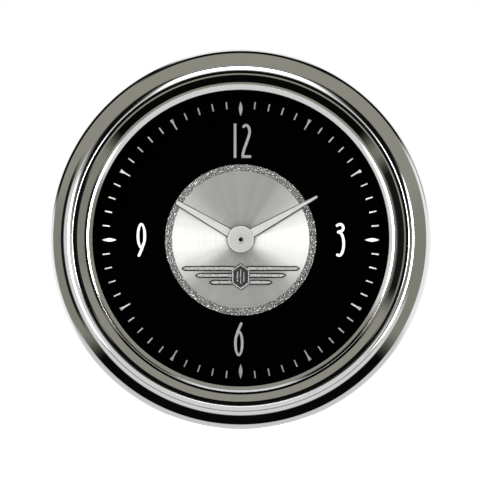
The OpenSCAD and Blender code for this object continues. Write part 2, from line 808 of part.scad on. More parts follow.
// Board behind the movement
module circuit_board() {
    color("darkgreen") slab(board_front, board_back) difference() {
        circle(d = board_d);
        for (p = stud_places) translate(p) circle(r = post_r + 0.3);
        for (p = board_screw_places) translate(p) circle(r = 0.6 + screw_fit);
        translate(stem_at) circle(r = stem_r + 0.4);
        translate(lamp_at) circle(r = 3.3);
        translate([lamp_at[0] - 3.3, lamp_at[1]]) square([6.6, 20]);
        for (s = [-1, 1]) translate([block_at[0] + 3 * s, block_at[1]])
            square([blade_t + 2 * press_fit, 2 + 2 * press_fit], center = true);
    }
}

// Tubes between the back plate and the board
module board_spacers() {
    color("silver") for (p = board_screw_places) difference() {
        pin(p, 1.6, plate2_back, board_front);
        pin(p, 0.6 + screw_fit, plate2_back - 1, board_front + 1);
    }
}

// Screws that hold the board
module board_screws() {
    color("silver") for (p = board_screw_places) difference() {
        union() {
            pin(p, 0.6, plate2_front + 0.1, board_back);
            pin(p, 1.3, board_back, board_back + 0.8);
        }
        translate([p[0], board_back + 0.8, p[1]]) cube([4, 0.7, 0.4], center = true);
    }
}

// Small can that holds the timing crystal, with its two leads
module quartz_crystal() {
    color("silver") {
        translate([2, board_back + 1.5, 5]) rotate([0, 90, 0]) cylinder(r = 1.5, h = 8);
        for (s = [-0.5, 0.5]) translate([-0.5, board_back + 1.3, 4.8 + s]) cube([3, 0.4, 0.4]);
        for (s = [-0.5, 0.5]) translate([-0.5, board_back, 4.8 + s]) cube([0.4, 1.7, 0.4]);
    }
}

// Standing electrolytic capacitor
module capacitor() {
    color("navy") pin([-7, -4], 2.5, board_back, board_back + 6);
}

// Driver chip with its two rows of feet
module driver_chip() {
    color("#1a1a1a") {
        translate([0, board_back + 0.3, -6.5]) cube([5, 1.3, 4]);
        for (x = [0.5:1.3:4.5]) translate([x, board_back, -7.5]) cube([0.4, 0.8, 6]);
    }
}

// Tubes that hold the movement off the case back
module standoff_posts() {
    color("silver") for (p = stud_places) difference() {
        pin(p, post_r, plate2_back, case_in);
        pin(p, stud_r + screw_fit, plate2_back - 1, case_in + 1);
    }
}

// Long studs from the back plate out through the case
module mounting_studs() {
    color("silver") for (p = stud_places) lathe(p) polygon([[0, plate2_front], [stud_r, plate2_front],
        [stud_r, stud_end - 0.5], [stud_r - 0.5, stud_end], [0, stud_end]]);
}

// Flat six-sided nuts that draw the movement against the case back
module stud_jam_nuts() {
    color("silver") for (p = stud_places) slab(case_out, case_out + 2.2) translate(p) difference() {
        circle(r = stud_r + 2, $fn = 6);
        circle(r = stud_r + press_fit);
    }
}

// Strap bent to a U whose legs bear on the rear of the panel
module bracket() {
    out = case_r + bracket_gap + bracket_t;
    bend = [out - 3, strap_back - 3];
    half = concat([[0, strap_front]], sweep(bend, 3 - bracket_t, 3 - bracket_t, 90, 0, 8),
        [[out - bracket_t, panel_t], [out, panel_t]], sweep(bend, 3, 3, 0, 90, 8), [[0, strap_back]]);
    other = [for (i = [len(half) - 2:-1:1]) [-half[i][0], half[i][1]]];
    color("gainsboro") difference() {
        linear_extrude(bracket_w, center = true) polygon(concat(half, other));
        for (p = stud_places) pin(p, stud_r + 0.2, strap_front - 1, strap_back + 1);
    }
}

// Washers under the thumb nuts
module bracket_washers() {
    color("silver") for (p = stud_places) slab(strap_back, nut_front) translate(p) difference() {
        circle(r = stud_r + 2.2);
        circle(r = stud_r + 0.15);
    }
}

// Knurled nuts that tighten the bracket
module thumb_nuts() {
    color("goldenrod") for (p = stud_places) difference() {
        union() {
            slab(nut_front + 1.2, nut_front + thumb_h) translate(p) knurl(thumb_r, 28);
            pin(p, thumb_r * 0.7, nut_front, nut_front + 1.2);
        }
        pin(p, stud_r + screw_fit, nut_front - 1, nut_front + thumb_h + 1);
    }
}

// Moulded block for the two terminals
module terminal_block() {
    color("#2a2522") difference() {
        union() {
            slab(case_in - 2, case_out) translate(block_at) square([10.6, blade_w + 2.3], center = true);
            slab(case_out, case_out + 1.5) translate(block_at) square([12.6, blade_w + 4.1], center = true);
        }
        for (s = [-1, 1]) slab(case_in - 3, case_out + 2) translate([block_at[0] + 3 * s, block_at[1]])
            square([blade_t + 2 * press_fit, blade_w + 2 * press_fit], center = true);
    }
}

// Flat blades with narrow tails that reach the board
module blade_terminals() {
    color("gold") for (s = [-1, 1]) translate([block_at[0] + 3 * s, 0, block_at[1]]) difference() {
        union() {
            translate([-blade_t / 2, case_in - 2, -blade_w / 2])
                cube([blade_t, case_out - case_in + 11, blade_w]);
            translate([-blade_t / 2, board_front - 0.4, -1])
                cube([blade_t, case_in - board_front, 2]);
        }
        translate([0, case_out + 5.5, 0]) rotate([0, 90, 0]) cylinder(r = 0.9, h = 4, center = true);
    }
}

// Twist-in holder with two lugs behind the case back and a grip outside
module lamp_socket() {
    color("#303030") difference() {
        union() {
            pin(lamp_at, lamp_r, case_in - 3, case_out + 0.05);
            pin(lamp_at, lamp_r + 1.6, case_out + 0.05, case_out + 1.3);
            slab(case_in - 1.2, case_in - 0.05) translate(lamp_at) intersection() {
                circle(r = lamp_r + 1.4);
                square([20, 3.4], center = true);
            }
            slab(case_out + 1.3, case_out + 5) translate(lamp_at) intersection() {
                circle(r = lamp_r + 1);
                square([20, 2.4], center = true);
            }
            pin(lamp_at, 2.4, case_out + 1.3, case_out + 4);
        }
        pin(lamp_at, 1.8 + press_fit, case_in - 4, case_in - 0.5);
    }
}

// Small glass bulb in the holder
module lamp_bulb() {
    glass_back = case_in - 3;
    glass_front = plate2_back + 0.5;
    color("lightyellow") lathe(lamp_at) polygon(concat([[0, case_in - 0.5], [0, glass_front]],
        sweep([0, glass_front + 2.5], 2.5, 2.5, -80, 0, 8),
        [[2.5, glass_back], [1.8, glass_back], [1.8, case_in - 0.5]]));
}

bezel();
lens();
lens_gasket();
trim_ring();
dial_plate();
minute_track();
numerals();
centre_disc();
disc_ornament();
ornament_plaque();
light_diffuser();
case();
dial_posts();
front_plate();
back_plate();
plate_pillars();
plate_screws();
motion_post();
cannon_pinion();
minute_hand();
hour_wheel();
hour_hand();
minute_wheel();
set_stem();
set_knob();
stem_bush();
centre_wheel();
third_wheel();
seconds_wheel();
intermediate_wheel();
rotor_pinion();
rotor_magnet();
stator();
stator_posts();
stator_screws();
coil_core();
coil_bobbin();
coil_winding();
circuit_board();
board_spacers();
board_screws();
quartz_crystal();
capacitor();
driver_chip();
standoff_posts();
mounting_studs();
stud_jam_nuts();
bracket();
bracket_washers();
thumb_nuts();
terminal_block();
blade_terminals();
lamp_socket();
lamp_bulb();
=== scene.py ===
import math

import bpy
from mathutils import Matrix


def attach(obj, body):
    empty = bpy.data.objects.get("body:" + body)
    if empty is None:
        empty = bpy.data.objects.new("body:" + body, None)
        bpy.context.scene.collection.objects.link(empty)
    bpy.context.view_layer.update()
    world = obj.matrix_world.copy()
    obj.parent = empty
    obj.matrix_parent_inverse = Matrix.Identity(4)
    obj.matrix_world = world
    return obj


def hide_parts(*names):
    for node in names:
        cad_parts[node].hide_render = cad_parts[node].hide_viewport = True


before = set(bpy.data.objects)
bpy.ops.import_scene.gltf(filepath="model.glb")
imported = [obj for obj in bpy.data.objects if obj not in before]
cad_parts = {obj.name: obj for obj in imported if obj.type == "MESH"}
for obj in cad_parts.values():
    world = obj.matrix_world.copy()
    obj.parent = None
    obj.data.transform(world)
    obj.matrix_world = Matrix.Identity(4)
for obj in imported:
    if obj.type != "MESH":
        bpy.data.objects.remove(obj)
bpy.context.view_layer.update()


# Case: the deep-drawn steel cup that everything is built into, stove-enamelled in satin black.
# Its front flange is held by the bezel's crimped rear lip, two beads are rolled into its wall, and
# its floor is pierced for the studs, the setting stem, the lamp and the terminal block.
MM = 0.001
case_radius, case_wall, case_back, case_corner = 26.65, 0.8, 31.0, 2.0
flange_radius, flange_front, flange_fillet = 28.9, -1.6, 0.4
bead_places, bead_width, bead_depth = (9.0, 21.0), 1.8, 0.24
floor_groove, groove_half, groove_depth = 23.6, 0.3, 0.14
left_stud, right_stud = (-13.0, 0.0), (13.0, 0.0)
stem_at, lamp_at, block_at = (-7.794, -13.5), (0.0, 15.0), (8.0, -13.5)
window_half = (5.35, 4.35)
before_floor, behind_floor = 28.0, 33.0


def clear_selection():
    """Leaves edit mode with nothing selected."""
    if bpy.context.object and bpy.context.object.mode != "OBJECT":
        bpy.ops.object.mode_set(mode="OBJECT")
    bpy.ops.object.select_all(action="DESELECT")


def take(piece):
    """Leaves edit mode with one piece selected and active."""
    clear_selection()
    piece.select_set(True)
    bpy.context.view_layer.objects.active = piece


def draw_line(name, points):
    """Draws a line in edit mode, vertex by vertex, through points given in mm, and stays there."""
    clear_selection()
    bpy.ops.mesh.primitive_plane_add(size=MM)
    piece = bpy.context.object
    piece.name = name
    piece.data.name = name
    bpy.ops.object.mode_set(mode="EDIT")
    bpy.ops.mesh.select_all(action="SELECT")
    bpy.ops.mesh.merge(type="CENTER")
    bpy.ops.transform.translate(value=[c * MM for c in points[0]])
    for before, point in zip(points, points[1:]):
        step = [(b - a) * MM for a, b in zip(before, point)]
        bpy.ops.mesh.extrude_vertices_move(TRANSFORM_OT_translate={"value": step})
    bpy.ops.mesh.select_all(action="SELECT")
    return piece


def merge_doubles():
    """Merges doubled vertices in edit mode."""
    bpy.ops.mesh.select_all(action="SELECT")
    bpy.ops.mesh.remove_doubles(threshold=0.002 * MM)


def close_skin():
    """Merges doubled vertices, turns the faces outwards and leaves edit mode."""
    merge_doubles()
    bpy.ops.mesh.normals_make_consistent(inside=False)
    bpy.ops.object.mode_set(mode="OBJECT")


def turn(name, profile, steps, at=(0, 0), ring=True):
    """Turns a profile of (radius, depth) points in mm about an axis along Y at (x, z). A ring's profile
    is a closed line; another one starts and ends on the axis."""
    points = [(r, y, 0) for r, y in profile]
    if ring:
        points.append(points[0])
    piece = draw_line(name, points)
    merge_doubles()
    bpy.ops.mesh.select_all(action="SELECT")
    bpy.ops.mesh.spin(steps=steps, angle=2 * math.pi, center=(0, 0, 0), axis=(0, 1, 0))
    bpy.ops.mesh.select_all(action="SELECT")
    bpy.ops.transform.translate(value=(at[0] * MM, 0, at[1] * MM))
    close_skin()
    return piece


def arc(centre, rx, ry, start, end, count):
    """Points along part of an ellipse, in degrees."""
    angles = [math.radians(start + (end - start) * i / count) for i in range(count + 1)]
    return [(centre[0] + rx * math.cos(a), centre[1] + ry * math.sin(a)) for a in angles]


def pull(name, corners, reach):
    """Fills a flat outline given by its corners in mm and pulls it along a way in mm to a solid."""
    piece = draw_line(name, corners)
    bpy.ops.mesh.edge_face_add()
    bpy.ops.mesh.select_all(action="SELECT")
    bpy.ops.mesh.extrude_region_move(TRANSFORM_OT_translate={"value": [c * MM for c in reach]})
    close_skin()
    return piece


def blank(name, outline, front, back):
    """Cuts a flat piece with the given (x, z) outline in mm between two depths."""
    return pull(name, [(x, back, z) for x, z in outline], (0, front - back, 0))


def work(piece, tool, operation):
    """Cuts a tool out of a piece, welds it on or keeps what both share, and removes the tool."""
    take(piece)
    step = piece.modifiers.new("step", "BOOLEAN")
    step.operation = operation
    step.solver = "EXACT"
    step.object = tool
    bpy.ops.object.modifier_apply(modifier=step.name)
    bpy.data.objects.remove(tool)


def bore(piece, radius, start, end, steps, at=(0, 0)):
    """Drills a piece from one depth to another."""
    drill = turn("drill", [(0, start), (radius, start), (radius, end), (0, end)], steps, at, False)
    work(piece, drill, "DIFFERENCE")


def smooth(piece, degrees=30):
    """Smooth shading that keeps edges sharper than the given angle."""
    take(piece)
    bpy.ops.object.shade_smooth_by_angle(angle=math.radians(degrees))
    clear_selection()


def paint(code):
    """Linear colour of an sRGB hex value."""
    parts = [int(code[i:i + 2], 16) / 255 for i in (1, 3, 5)]
    return [c / 12.92 if c <= 0.04045 else ((c + 0.055) / 1.055) ** 2.4 for c in parts] + [1.0]


def put(tree, kind, sockets=None, links=None, **settings):
    """Adds a node with its settings, socket values and incoming links."""
    node = tree.nodes.new(kind)
    for key, value in settings.items():
        setattr(node, key, value)
    for key, value in (sockets or {}).items():
        node.inputs[key].default_value = value
    for key, source in (links or {}).items():
        tree.links.new(source, node.inputs[key])
    return node


def start_finish(name, **sockets):
    """A new material: its tree, its Principled shader and the object coordinates."""
    made = bpy.data.materials.new(name)
    made.use_nodes = True
    tree = made.node_tree
    tree.nodes.clear()
    shader = put(tree, "ShaderNodeBsdfPrincipled", sockets)
    put(tree, "ShaderNodeOutputMaterial", links={"Surface": shader.outputs["BSDF"]})
    place = put(tree, "ShaderNodeTexCoord").outputs["Object"]
    return made, tree, shader, place


def vary(tree, shader, place, grain_mm, low, high, rough_low, rough_high, bump_mm):
    """Mottles the colour and the roughness by one noise of the given grain and lifts it as a bump."""
    noise = put(tree, "ShaderNodeTexNoise", {"Scale": 1 / (grain_mm * MM), "Detail": 4.0}, {"Vector": place})
    tint = put(tree, "ShaderNodeMix", {"A": paint(low), "B": paint(high)}, {"Factor": noise.outputs["Fac"]},
               data_type="RGBA")
    gloss = put(tree, "ShaderNodeMapRange", {"To Min": rough_low, "To Max": rough_high},
                {"Value": noise.outputs["Fac"]})
    tree.links.new(tint.outputs["Result"], shader.inputs["Base Color"])
    tree.links.new(gloss.outputs["Result"], shader.inputs["Roughness"])
    lift = put(tree, "ShaderNodeBump", {"Strength": 1.0, "Distance": bump_mm * MM},
               {"Height": noise.outputs["Fac"]})
    tree.links.new(lift.outputs["Normal"], shader.inputs["Normal"])


def finish(name, grain_mm, low, high, rough_low, rough_high, bump_mm, **sockets):
    """A material between two colours and two roughnesses, mottled by a grain in mm with a bump in mm."""
    made, tree, shader, place = start_finish(name, **sockets)
    vary(tree, shader, place, grain_mm, low, high, rough_low, rough_high, bump_mm)
    return made


flange_back = flange_front + case_wall
fillet_at = (case_radius + flange_fillet, flange_back + flange_fillet)
corner_at = (case_radius - case_corner, case_back - case_corner)
inner_corner = case_corner - case_wall
shell = [(case_radius - case_wall, flange_front), (flange_radius, flange_front), (flange_radius, flange_back)]
shell += arc(fillet_at, flange_fillet, flange_fillet, 270, 180, 4)
for middle in bead_places:
    shell += [(case_radius - bead_depth / 2 * (1 - math.cos(math.radians(45 * i))),
               middle + bead_width * (i / 8 - 0.5)) for i in range(9)]
shell += arc(corner_at, case_corner, case_corner, 0, 90, 10)
shell += [(floor_groove + groove_half, case_back), (floor_groove, case_back - groove_depth),
          (floor_groove - groove_half, case_back), (0, case_back), (0, case_back - case_wall)]
shell += arc(corner_at, inner_corner, inner_corner, 90, 0, 6)
case = turn("drawn_case", shell, 192)
for at, radius in ((left_stud, 2.05), (right_stud, 2.05), (stem_at, 2.42), (lamp_at, 4.6)):
    bore(case, radius, before_floor, behind_floor, 48, at)
window = [(block_at[0] + sx * window_half[0], block_at[1] + sz * window_half[1])
          for sx, sz in ((-1, -1), (1, -1), (1, 1), (-1, 1))]
work(case, blank("case_window", window, before_floor, behind_floor), "DIFFERENCE")
smooth(case, 40)

# Stove enamel on drawn steel: deep black with the faint orange peel of a sprayed coat.
case_enamel = finish("satin_stove_enamel", 0.6, "#111112", "#1B1B1C", 0.34, 0.48, 0.012, Metallic=0.0)
case.data.materials.append(case_enamel)
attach(case, "housing")
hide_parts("case")


# Movement plates: two round plates blanked from hard brass, held apart by turned pillars and
# drawn together by long slotted screws that end in the dial posts.
def dress(made, *names):
    """Gives CAD nodes a finish."""
    for name in names:
        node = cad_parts[name]
        node.data.materials.clear()
        node.data.materials.append(made)


# Lacquered brass: warm yellow under a thin even gloss.
plate_brass = finish("lacquered_brass", 0.35, "#B98F45", "#D2AC5F", 0.26, 0.4, 0.004, Metallic=1.0)
dress(plate_brass, "front_plate", "back_plate", "plate_pillars", "dial_posts", "stator_posts")

# Nickel plate on turned steel: pale, slightly warm and bright.
screw_steel = finish("nickel_plated_steel", 0.3, "#A7A8A6", "#C3C4C1", 0.22, 0.36, 0.003, Metallic=1.0)
dress(screw_steel, "plate_screws", "motion_post", "stator_screws", "board_screws", "board_spacers",
      "standoff_posts", "set_stem")


# Going train and hand gearing: wheels hobbed from brass blanks on steel arbors, and a small
# moulded rotor pinion.
arbor_radius = 0.75
dress(plate_brass, "hour_wheel", "minute_wheel", "centre_wheel", "third_wheel", "seconds_wheel",
      "intermediate_wheel")

# Turned steel, left dull: the thin grey ring round the arbor's end.
dull_steel = finish("turned_dull_steel", 0.2, "#8E8E8C", "#9C9C9A", 0.3, 0.42, 0.001, Metallic=1.0)
dress(dull_steel, "cannon_pinion")

# Blued arbor steel: near black, seen only as the dark end of the arbor in the hub.
arbor_steel = finish("blued_arbor_steel", 0.2, "#101114", "#1B1C20", 0.4, 0.5, 0.001, Metallic=1.0)
centre_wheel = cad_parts["centre_wheel"]
centre_wheel.data.materials.append(arbor_steel)
for facet in centre_wheel.data.polygons:
    middle = centre_wheel.matrix_world @ facet.center
    facet.material_index = 1 if math.hypot(middle.x, middle.z) < arbor_radius * MM else 0

# Moulded nylon: cream white and waxy.
pinion_nylon = finish("moulded_nylon", 0.8, "#D9D4C6", "#E8E4D8", 0.42, 0.56, 0.006, Metallic=0.0)
dress(pinion_nylon, "rotor_pinion", "stem_bush", "coil_bobbin")


# Stepping motor: a ground ferrite magnet on the rotor, soft-iron poles stamped from sheet, and a
# coil of enamelled copper wire on a moulded former.
wire_pitch = 0.23562

# Ground ferrite: dark grey and stony.
rotor_ferrite = finish("ground_ferrite", 0.2, "#2B2B2D", "#3D3D40", 0.4, 0.6, 0.004, Metallic=0.0)
dress(rotor_ferrite, "rotor_magnet")

# Rolled soft iron: a dull blue-grey metal.
pole_iron = finish("rolled_soft_iron", 0.5, "#6F7074", "#8A8B8F", 0.35, 0.5, 0.004, Metallic=1.0)
dress(pole_iron, "stator", "coil_core")

# Enamelled copper wire: red-brown turns side by side, with painted shade darkening the valleys between
# them. At a scale of 1 a wave texture has a band each 2 pi / 20.
winding_copper, tree, shader, place = start_finish("enamelled_copper_wire", Metallic=1.0, Roughness=0.3)
turns = put(tree, "ShaderNodeTexWave", {"Scale": 2 * math.pi / 20 / (wire_pitch * MM), "Distortion": 0.4},
            {"Vector": place}, bands_direction="Z")
# The low bands between the turns take the darker colour: painted shade in the valleys.
tint = put(tree, "ShaderNodeMix", {"A": paint("#6B2F16"), "B": paint("#B4602E")},
           {"Factor": turns.outputs["Fac"]}, data_type="RGBA")
tree.links.new(tint.outputs["Result"], shader.inputs["Base Color"])
lift = put(tree, "ShaderNodeBump", {"Strength": 1.0, "Distance": 0.05 * MM}, {"Height": turns.outputs["Fac"]})
tree.links.new(lift.outputs["Normal"], shader.inputs["Normal"])
dress(winding_copper, "coil_winding")


# Circuit board: glass-fibre board with green solder mask, and on it a crystal can, a sleeved
# capacitor and a driver chip. The can is nickel-plated like the screws.
dress(screw_steel, "quartz_crystal")

# Solder mask: deep glossy green.
board_mask = finish("green_solder_mask", 1.2, "#0E3D20", "#175230", 0.28, 0.4, 0.01, Metallic=0.0)
dress(board_mask, "circuit_board")

# Shrunk PVC sleeve: dark blue and shiny.
capacitor_sleeve = finish("shrunk_pvc_sleeve", 0.9, "#1A2250", "#232C63", 0.25, 0.36, 0.008, Metallic=0.0)
dress(capacitor_sleeve, "capacitor")

# Moulded epoxy: matt black with a fine grain.
chip_epoxy = finish("moulded_epoxy", 0.15, "#141414", "#202020", 0.5, 0.65, 0.006, Metallic=0.0)
dress(chip_epoxy, "driver_chip")


# Light diffuser and dial: an opal acrylic disc, and in front of it the aluminium dial plate,
# sprayed black, with the marks and numerals left bare in its turned face.

# Opal acrylic: milky white with a soft gloss.
opal_acrylic = finish("opal_acrylic", 2.0, "#E6E2D4", "#EFECE2", 0.3, 0.4, 0.004, Metallic=0.0)
dress(opal_acrylic, "light_diffuser")

# Sprayed and flatted black lacquer: no colour of its own and hardly any gloss.
dial_paint = finish("sprayed_dial_black", 0.5, "#000000", "#010101", 0.1, 0.13, 0.0, Metallic=0.0,
                    **{"Specular IOR Level": 0.004})
dress(dial_paint, "dial_plate")

# Bare turned aluminium: silver marks that shine white at the sides and grey above and below.
bare_mark, tree, shader, place = start_finish("bare_turned_aluminium", Metallic=1.0, Anisotropic=0.97,
                                              **{"Anisotropic Rotation": 0.25})
vary(tree, shader, place, 0.25, "#CFCFCD", "#DFDFDC", 0.34, 0.38, 0.0)
around = put(tree, "ShaderNodeTangent", direction_type="RADIAL", axis="Y")
tree.links.new(around.outputs["Tangent"], shader.inputs["Tangent"])
dress(bare_mark, "minute_track")

# The figures are each one bare patch. Their drawn strokes meet along walls inside a figure, so those
# walls, which are there twice, are taken out of a copy and the strokes grow together.
figures = bpy.data.objects.new("bare_figures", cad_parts["numerals"].data.copy())
bpy.context.scene.collection.objects.link(figures)
figures.data.materials.clear()
figures.data.materials.append(bare_mark)
take(figures)
bpy.context.tool_settings.mesh_select_mode = (False, False, True)
spots = [tuple(round(c / MM, 3) for c in facet.center) for facet in figures.data.polygons]
for facet, spot in zip(figures.data.polygons, spots):
    facet.select = spots.count(spot) > 1
bpy.ops.object.mode_set(mode="EDIT")
bpy.ops.mesh.delete(type="FACE")
merge_doubles()
bpy.ops.object.mode_set(mode="OBJECT")
bpy.context.tool_settings.mesh_select_mode = (True, False, False)
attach(figures, "housing")
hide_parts("numerals")


# Centre disc: an aluminium blank faced on a lathe, so that fine rings run round it and its shine
# fans out from the middle. The sloping border is stippled by a punch. It is glued to the dial.
disc_hole, disc_flat, disc_edge = 2.0, 10.95, 12.05
disc_front, disc_low, disc_back = 0.2, 0.85, 1.0
ring_pitch, ring_depth, plain_rim, grain_width = 0.3, 0.0004, 0.1, 0.12
stipple_grain, stipple_height, stipple_rows = 0.25, 0.26, 14

face = [(disc_hole, disc_back), (disc_hole, disc_front)]
for i in range(1, int((disc_flat - plain_rim - disc_hole) / ring_pitch * 2)):
    face.append((disc_hole + i * ring_pitch / 2, disc_front + (i * 7 % 11) / 10 * ring_depth))
face += [(disc_flat, disc_front), (disc_flat, disc_back)]
disc = turn("turned_disc", face, 240)
smooth(disc)

slope = [(disc_flat + (disc_edge - disc_flat) * i / stipple_rows,
          disc_front + (disc_low - disc_front) * i / stipple_rows) for i in range(stipple_rows + 1)]
border = turn("stippled_border", slope + [(disc_edge, disc_back), (disc_flat, disc_back)], 840)
punched = border.vertex_groups.new(name="slope")
punched.add([v.index for v in border.data.vertices
             if math.hypot(v.co.x, v.co.z) / MM < disc_edge - 0.05 and v.co.y < disc_back * 0.9 * MM],
            1.0, "REPLACE")
pits = bpy.data.textures.new("punched_stipple", "CLOUDS")
pits.noise_scale = stipple_grain * MM
pits.noise_depth = 1
take(border)
stipple = border.modifiers.new("stipple", "DISPLACE")
stipple.texture = pits
stipple.texture_coords = "LOCAL"
stipple.vertex_group = "slope"
stipple.strength = stipple_height * MM
stipple.mid_level = 0.5
bpy.ops.object.modifier_apply(modifier=stipple.name)

# Punched aluminium: the same metal left in small half-frosted facets that glitter.
punched_aluminium = finish("punched_aluminium", 0.3, "#6A6A68", "#E0E0DE", 0.2, 0.3, 0.0, Metallic=0.86)
border.data.materials.append(punched_aluminium)
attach(border, "housing")
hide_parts("centre_disc")

# Turned aluminium: bright, with a grain of fine rings, drawn 0.12 mm wide so that they show, and a
# few broad rays where the tool chattered.
turned_aluminium, tree, shader, place = start_finish("turned_aluminium", Metallic=0.94, Roughness=0.36,
                                                     Anisotropic=0.97, **{"Anisotropic Rotation": 0.25})
around = put(tree, "ShaderNodeTangent", direction_type="RADIAL", axis="Y")
tree.links.new(around.outputs["Tangent"], shader.inputs["Tangent"])
flat = put(tree, "ShaderNodeVectorMath", {1: (1, 0, 1)}, {0: place}, operation="MULTIPLY")
outward = put(tree, "ShaderNodeVectorMath", links={0: flat.outputs["Vector"]}, operation="LENGTH")
rings = put(tree, "ShaderNodeTexNoise", {"Scale": 1 / (grain_width * MM), "Detail": 3.0},
            {"W": outward.outputs["Value"]}, noise_dimensions="1D")
aim_out = put(tree, "ShaderNodeVectorMath", links={0: flat.outputs["Vector"]}, operation="NORMALIZE")
rays = put(tree, "ShaderNodeTexNoise", {"Scale": 3.5, "Detail": 1.0}, {"Vector": aim_out.outputs["Vector"]})
grain = put(tree, "ShaderNodeMath", {1: 1.5}, {0: rings.outputs["Fac"]}, operation="MULTIPLY")
grain = put(tree, "ShaderNodeMath", links={0: grain.outputs[0], 1: rays.outputs["Fac"]}, operation="ADD")
grain = put(tree, "ShaderNodeMath", {1: 0.6}, {0: grain.outputs[0]}, operation="MULTIPLY")
tint = put(tree, "ShaderNodeMix", {"A": paint("#8A8A88"), "B": paint("#C4C4C2")},
           {"Factor": grain.outputs[0]}, data_type="RGBA")
tree.links.new(tint.outputs["Result"], shader.inputs["Base Color"])
disc.data.materials.append(turned_aluminium)
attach(disc, "housing")
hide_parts("centre_disc")


# Ornament: three pairs of pointed bars and a six-sided plaque, stamped from nickel silver. The tops
# are polished, the slopes are left dull by the pickle and painted dark as shade that outlines each
# bar, and black enamel is melted into the plaque.
bar_half, bar_tip, bar_slope, bar_front = 0.4, 0.7, 0.185, -0.19
plaque_at, plaque_front, rim_slope, rib_half, rib_slope = -5.91, -0.2, 0.12, 0.12, 0.05
rim_outline = [(0, 2.2), (1.5, 1.1), (1.5, -1.1), (0, -2.2), (-1.5, -1.1), (-1.5, 1.1)]
bed_outline = [(0, 1.642), (1.05, 0.872), (1.05, -0.872), (0, -1.642), (-1.05, -0.872), (-1.05, 0.872)]
looks_forward = -0.95


def soften(piece, width_mm, segments=1, degrees=40):
    """Breaks a piece's sharp edges."""
    take(piece)
    rounding = piece.modifiers.new("edge", "BEVEL")
    rounding.width = width_mm * MM
    rounding.segments = segments
    rounding.limit_method = "ANGLE"
    rounding.angle_limit = math.radians(degrees)
    bpy.ops.object.modifier_apply(modifier=rounding.name)
    smooth(piece)


def face_and_edges(piece, front_finish, edge_finish):
    """One finish on the faces that look forward and a darker one, painted shade, on the rest."""
    piece.data.materials.append(front_finish)
    piece.data.materials.append(edge_finish)
    for facet in piece.data.polygons:
        facet.material_index = 0 if facet.normal.y < looks_forward else 1


# Polished nickel silver: a warm-grey near mirror on the tops of the stamping.
ornament_metal = finish("polished_nickel_silver", 0.4, "#9E9E9C", "#BEBEBB", 0.16, 0.24, 0.0002, Metallic=1.0)

# Pickled nickel silver with painted shade: the dull slopes, darkened near black to outline each bar.
ornament_slope = finish("pickled_nickel_silver", 0.15, "#262625", "#3C3C3A", 0.4, 0.55, 0.0005, Metallic=1.0)


def set_ornament(piece, slope_width):
    """Slopes a stamping's edges, finishes it with painted shade on the slopes and sets it on the disc."""
    soften(piece, slope_width)
    face_and_edges(piece, ornament_metal, ornament_slope)
    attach(piece, "housing")
    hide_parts("disc_ornament")


for number, (height, inner, outer) in enumerate([(-4.6, 0.9, 9.6), (-5.7, 1.3, 7.4), (-6.8, 1.3, 5.2)]):
    for side, hand in ((1, "right"), (-1, "left")):
        shape = [(inner, -bar_half), (outer - bar_tip, -bar_half), (outer, 0), (outer - bar_tip, bar_half),
                 (inner, bar_half)]
        name = "bar_%d_%s" % (number + 1, hand)
        bar = blank(name, [(side * x, height + z) for x, z in shape], bar_front, disc_front)
        set_ornament(bar, bar_slope)

rim = blank("plaque_rim", [(x, plaque_at + z) for x, z in rim_outline], plaque_front, disc_front)
work(rim, blank("plaque_bed", [(x, plaque_at + z) for x, z in bed_outline], -0.6, 0.6), "DIFFERENCE")
set_ornament(rim, rim_slope)

for number, (across, half) in enumerate([(-0.5, 0.85), (0.0, 1.2), (0.5, 0.85)]):
    shape = [(across - rib_half, plaque_at - half), (across + rib_half, plaque_at - half),
             (across + rib_half, plaque_at + half), (across - rib_half, plaque_at + half)]
    rib = blank("plaque_rib_%d" % (number + 1), shape, plaque_front, 0.0)
    set_ornament(rib, rib_slope)

# Vitreous enamel: a deep glossy black, drawn slightly up at the rim.
plaque_enamel = finish("vitreous_black_enamel", 0.5, "#050506", "#0B0B0D", 0.08, 0.12, 0.0001, Metallic=0.0,
                       **{"Coat Weight": 0.6})
dress(plaque_enamel, "ornament_plaque")


# Hands: blanked from thin aluminium sheet, flat on top with broken edges, sprayed a soft silver
# grey. The minute hand carries the round hub that is pressed on the cannon pinion's end.
hour_length, hour_wide, hour_narrow, hour_angle = 12.0, 1.65, 0.9, 300.2
hour_front, hour_back, hour_boss, hour_hole = -0.75, -0.45, 2.1, 1.31
minute_length, minute_wide, minute_narrow, minute_angle = 14.1, 1.75, 0.57, 60.8
minute_front, minute_back, hub_front, hub_radius, minute_hole = -1.40, -1.10, -1.52, 2.2, 0.61
hand_edge_width = 0.13


def hand_outline(length, wide, narrow, clock_degrees):
    """Tapered blade with a round tip, pointing the given number of degrees clockwise from twelve."""
    tip = arc((length - narrow / 2, 0), narrow / 2, narrow / 2, -90, 90, 12)
    a = math.radians(90 - clock_degrees)
    flat = [(0.0, -wide / 2)] + tip + [(0.0, wide / 2)]
    return [(x * math.cos(a) - z * math.sin(a), x * math.sin(a) + z * math.cos(a)) for x, z in flat]


# Silver-grey hand paint: flat and pale, with a fine metallic tooth.
hand_paint = finish("silver_grey_hand_paint", 0.1, "#80807E", "#8A8A88", 0.45, 0.55, 0.0005, Metallic=0.0)

# Painted shade on the broken edges: a near black on the bevels that frames each hand with a thin dark line.
hand_edge = finish("sheared_hand_edge", 0.1, "#161616", "#202020", 0.5, 0.6, 0.0005, Metallic=0.0)

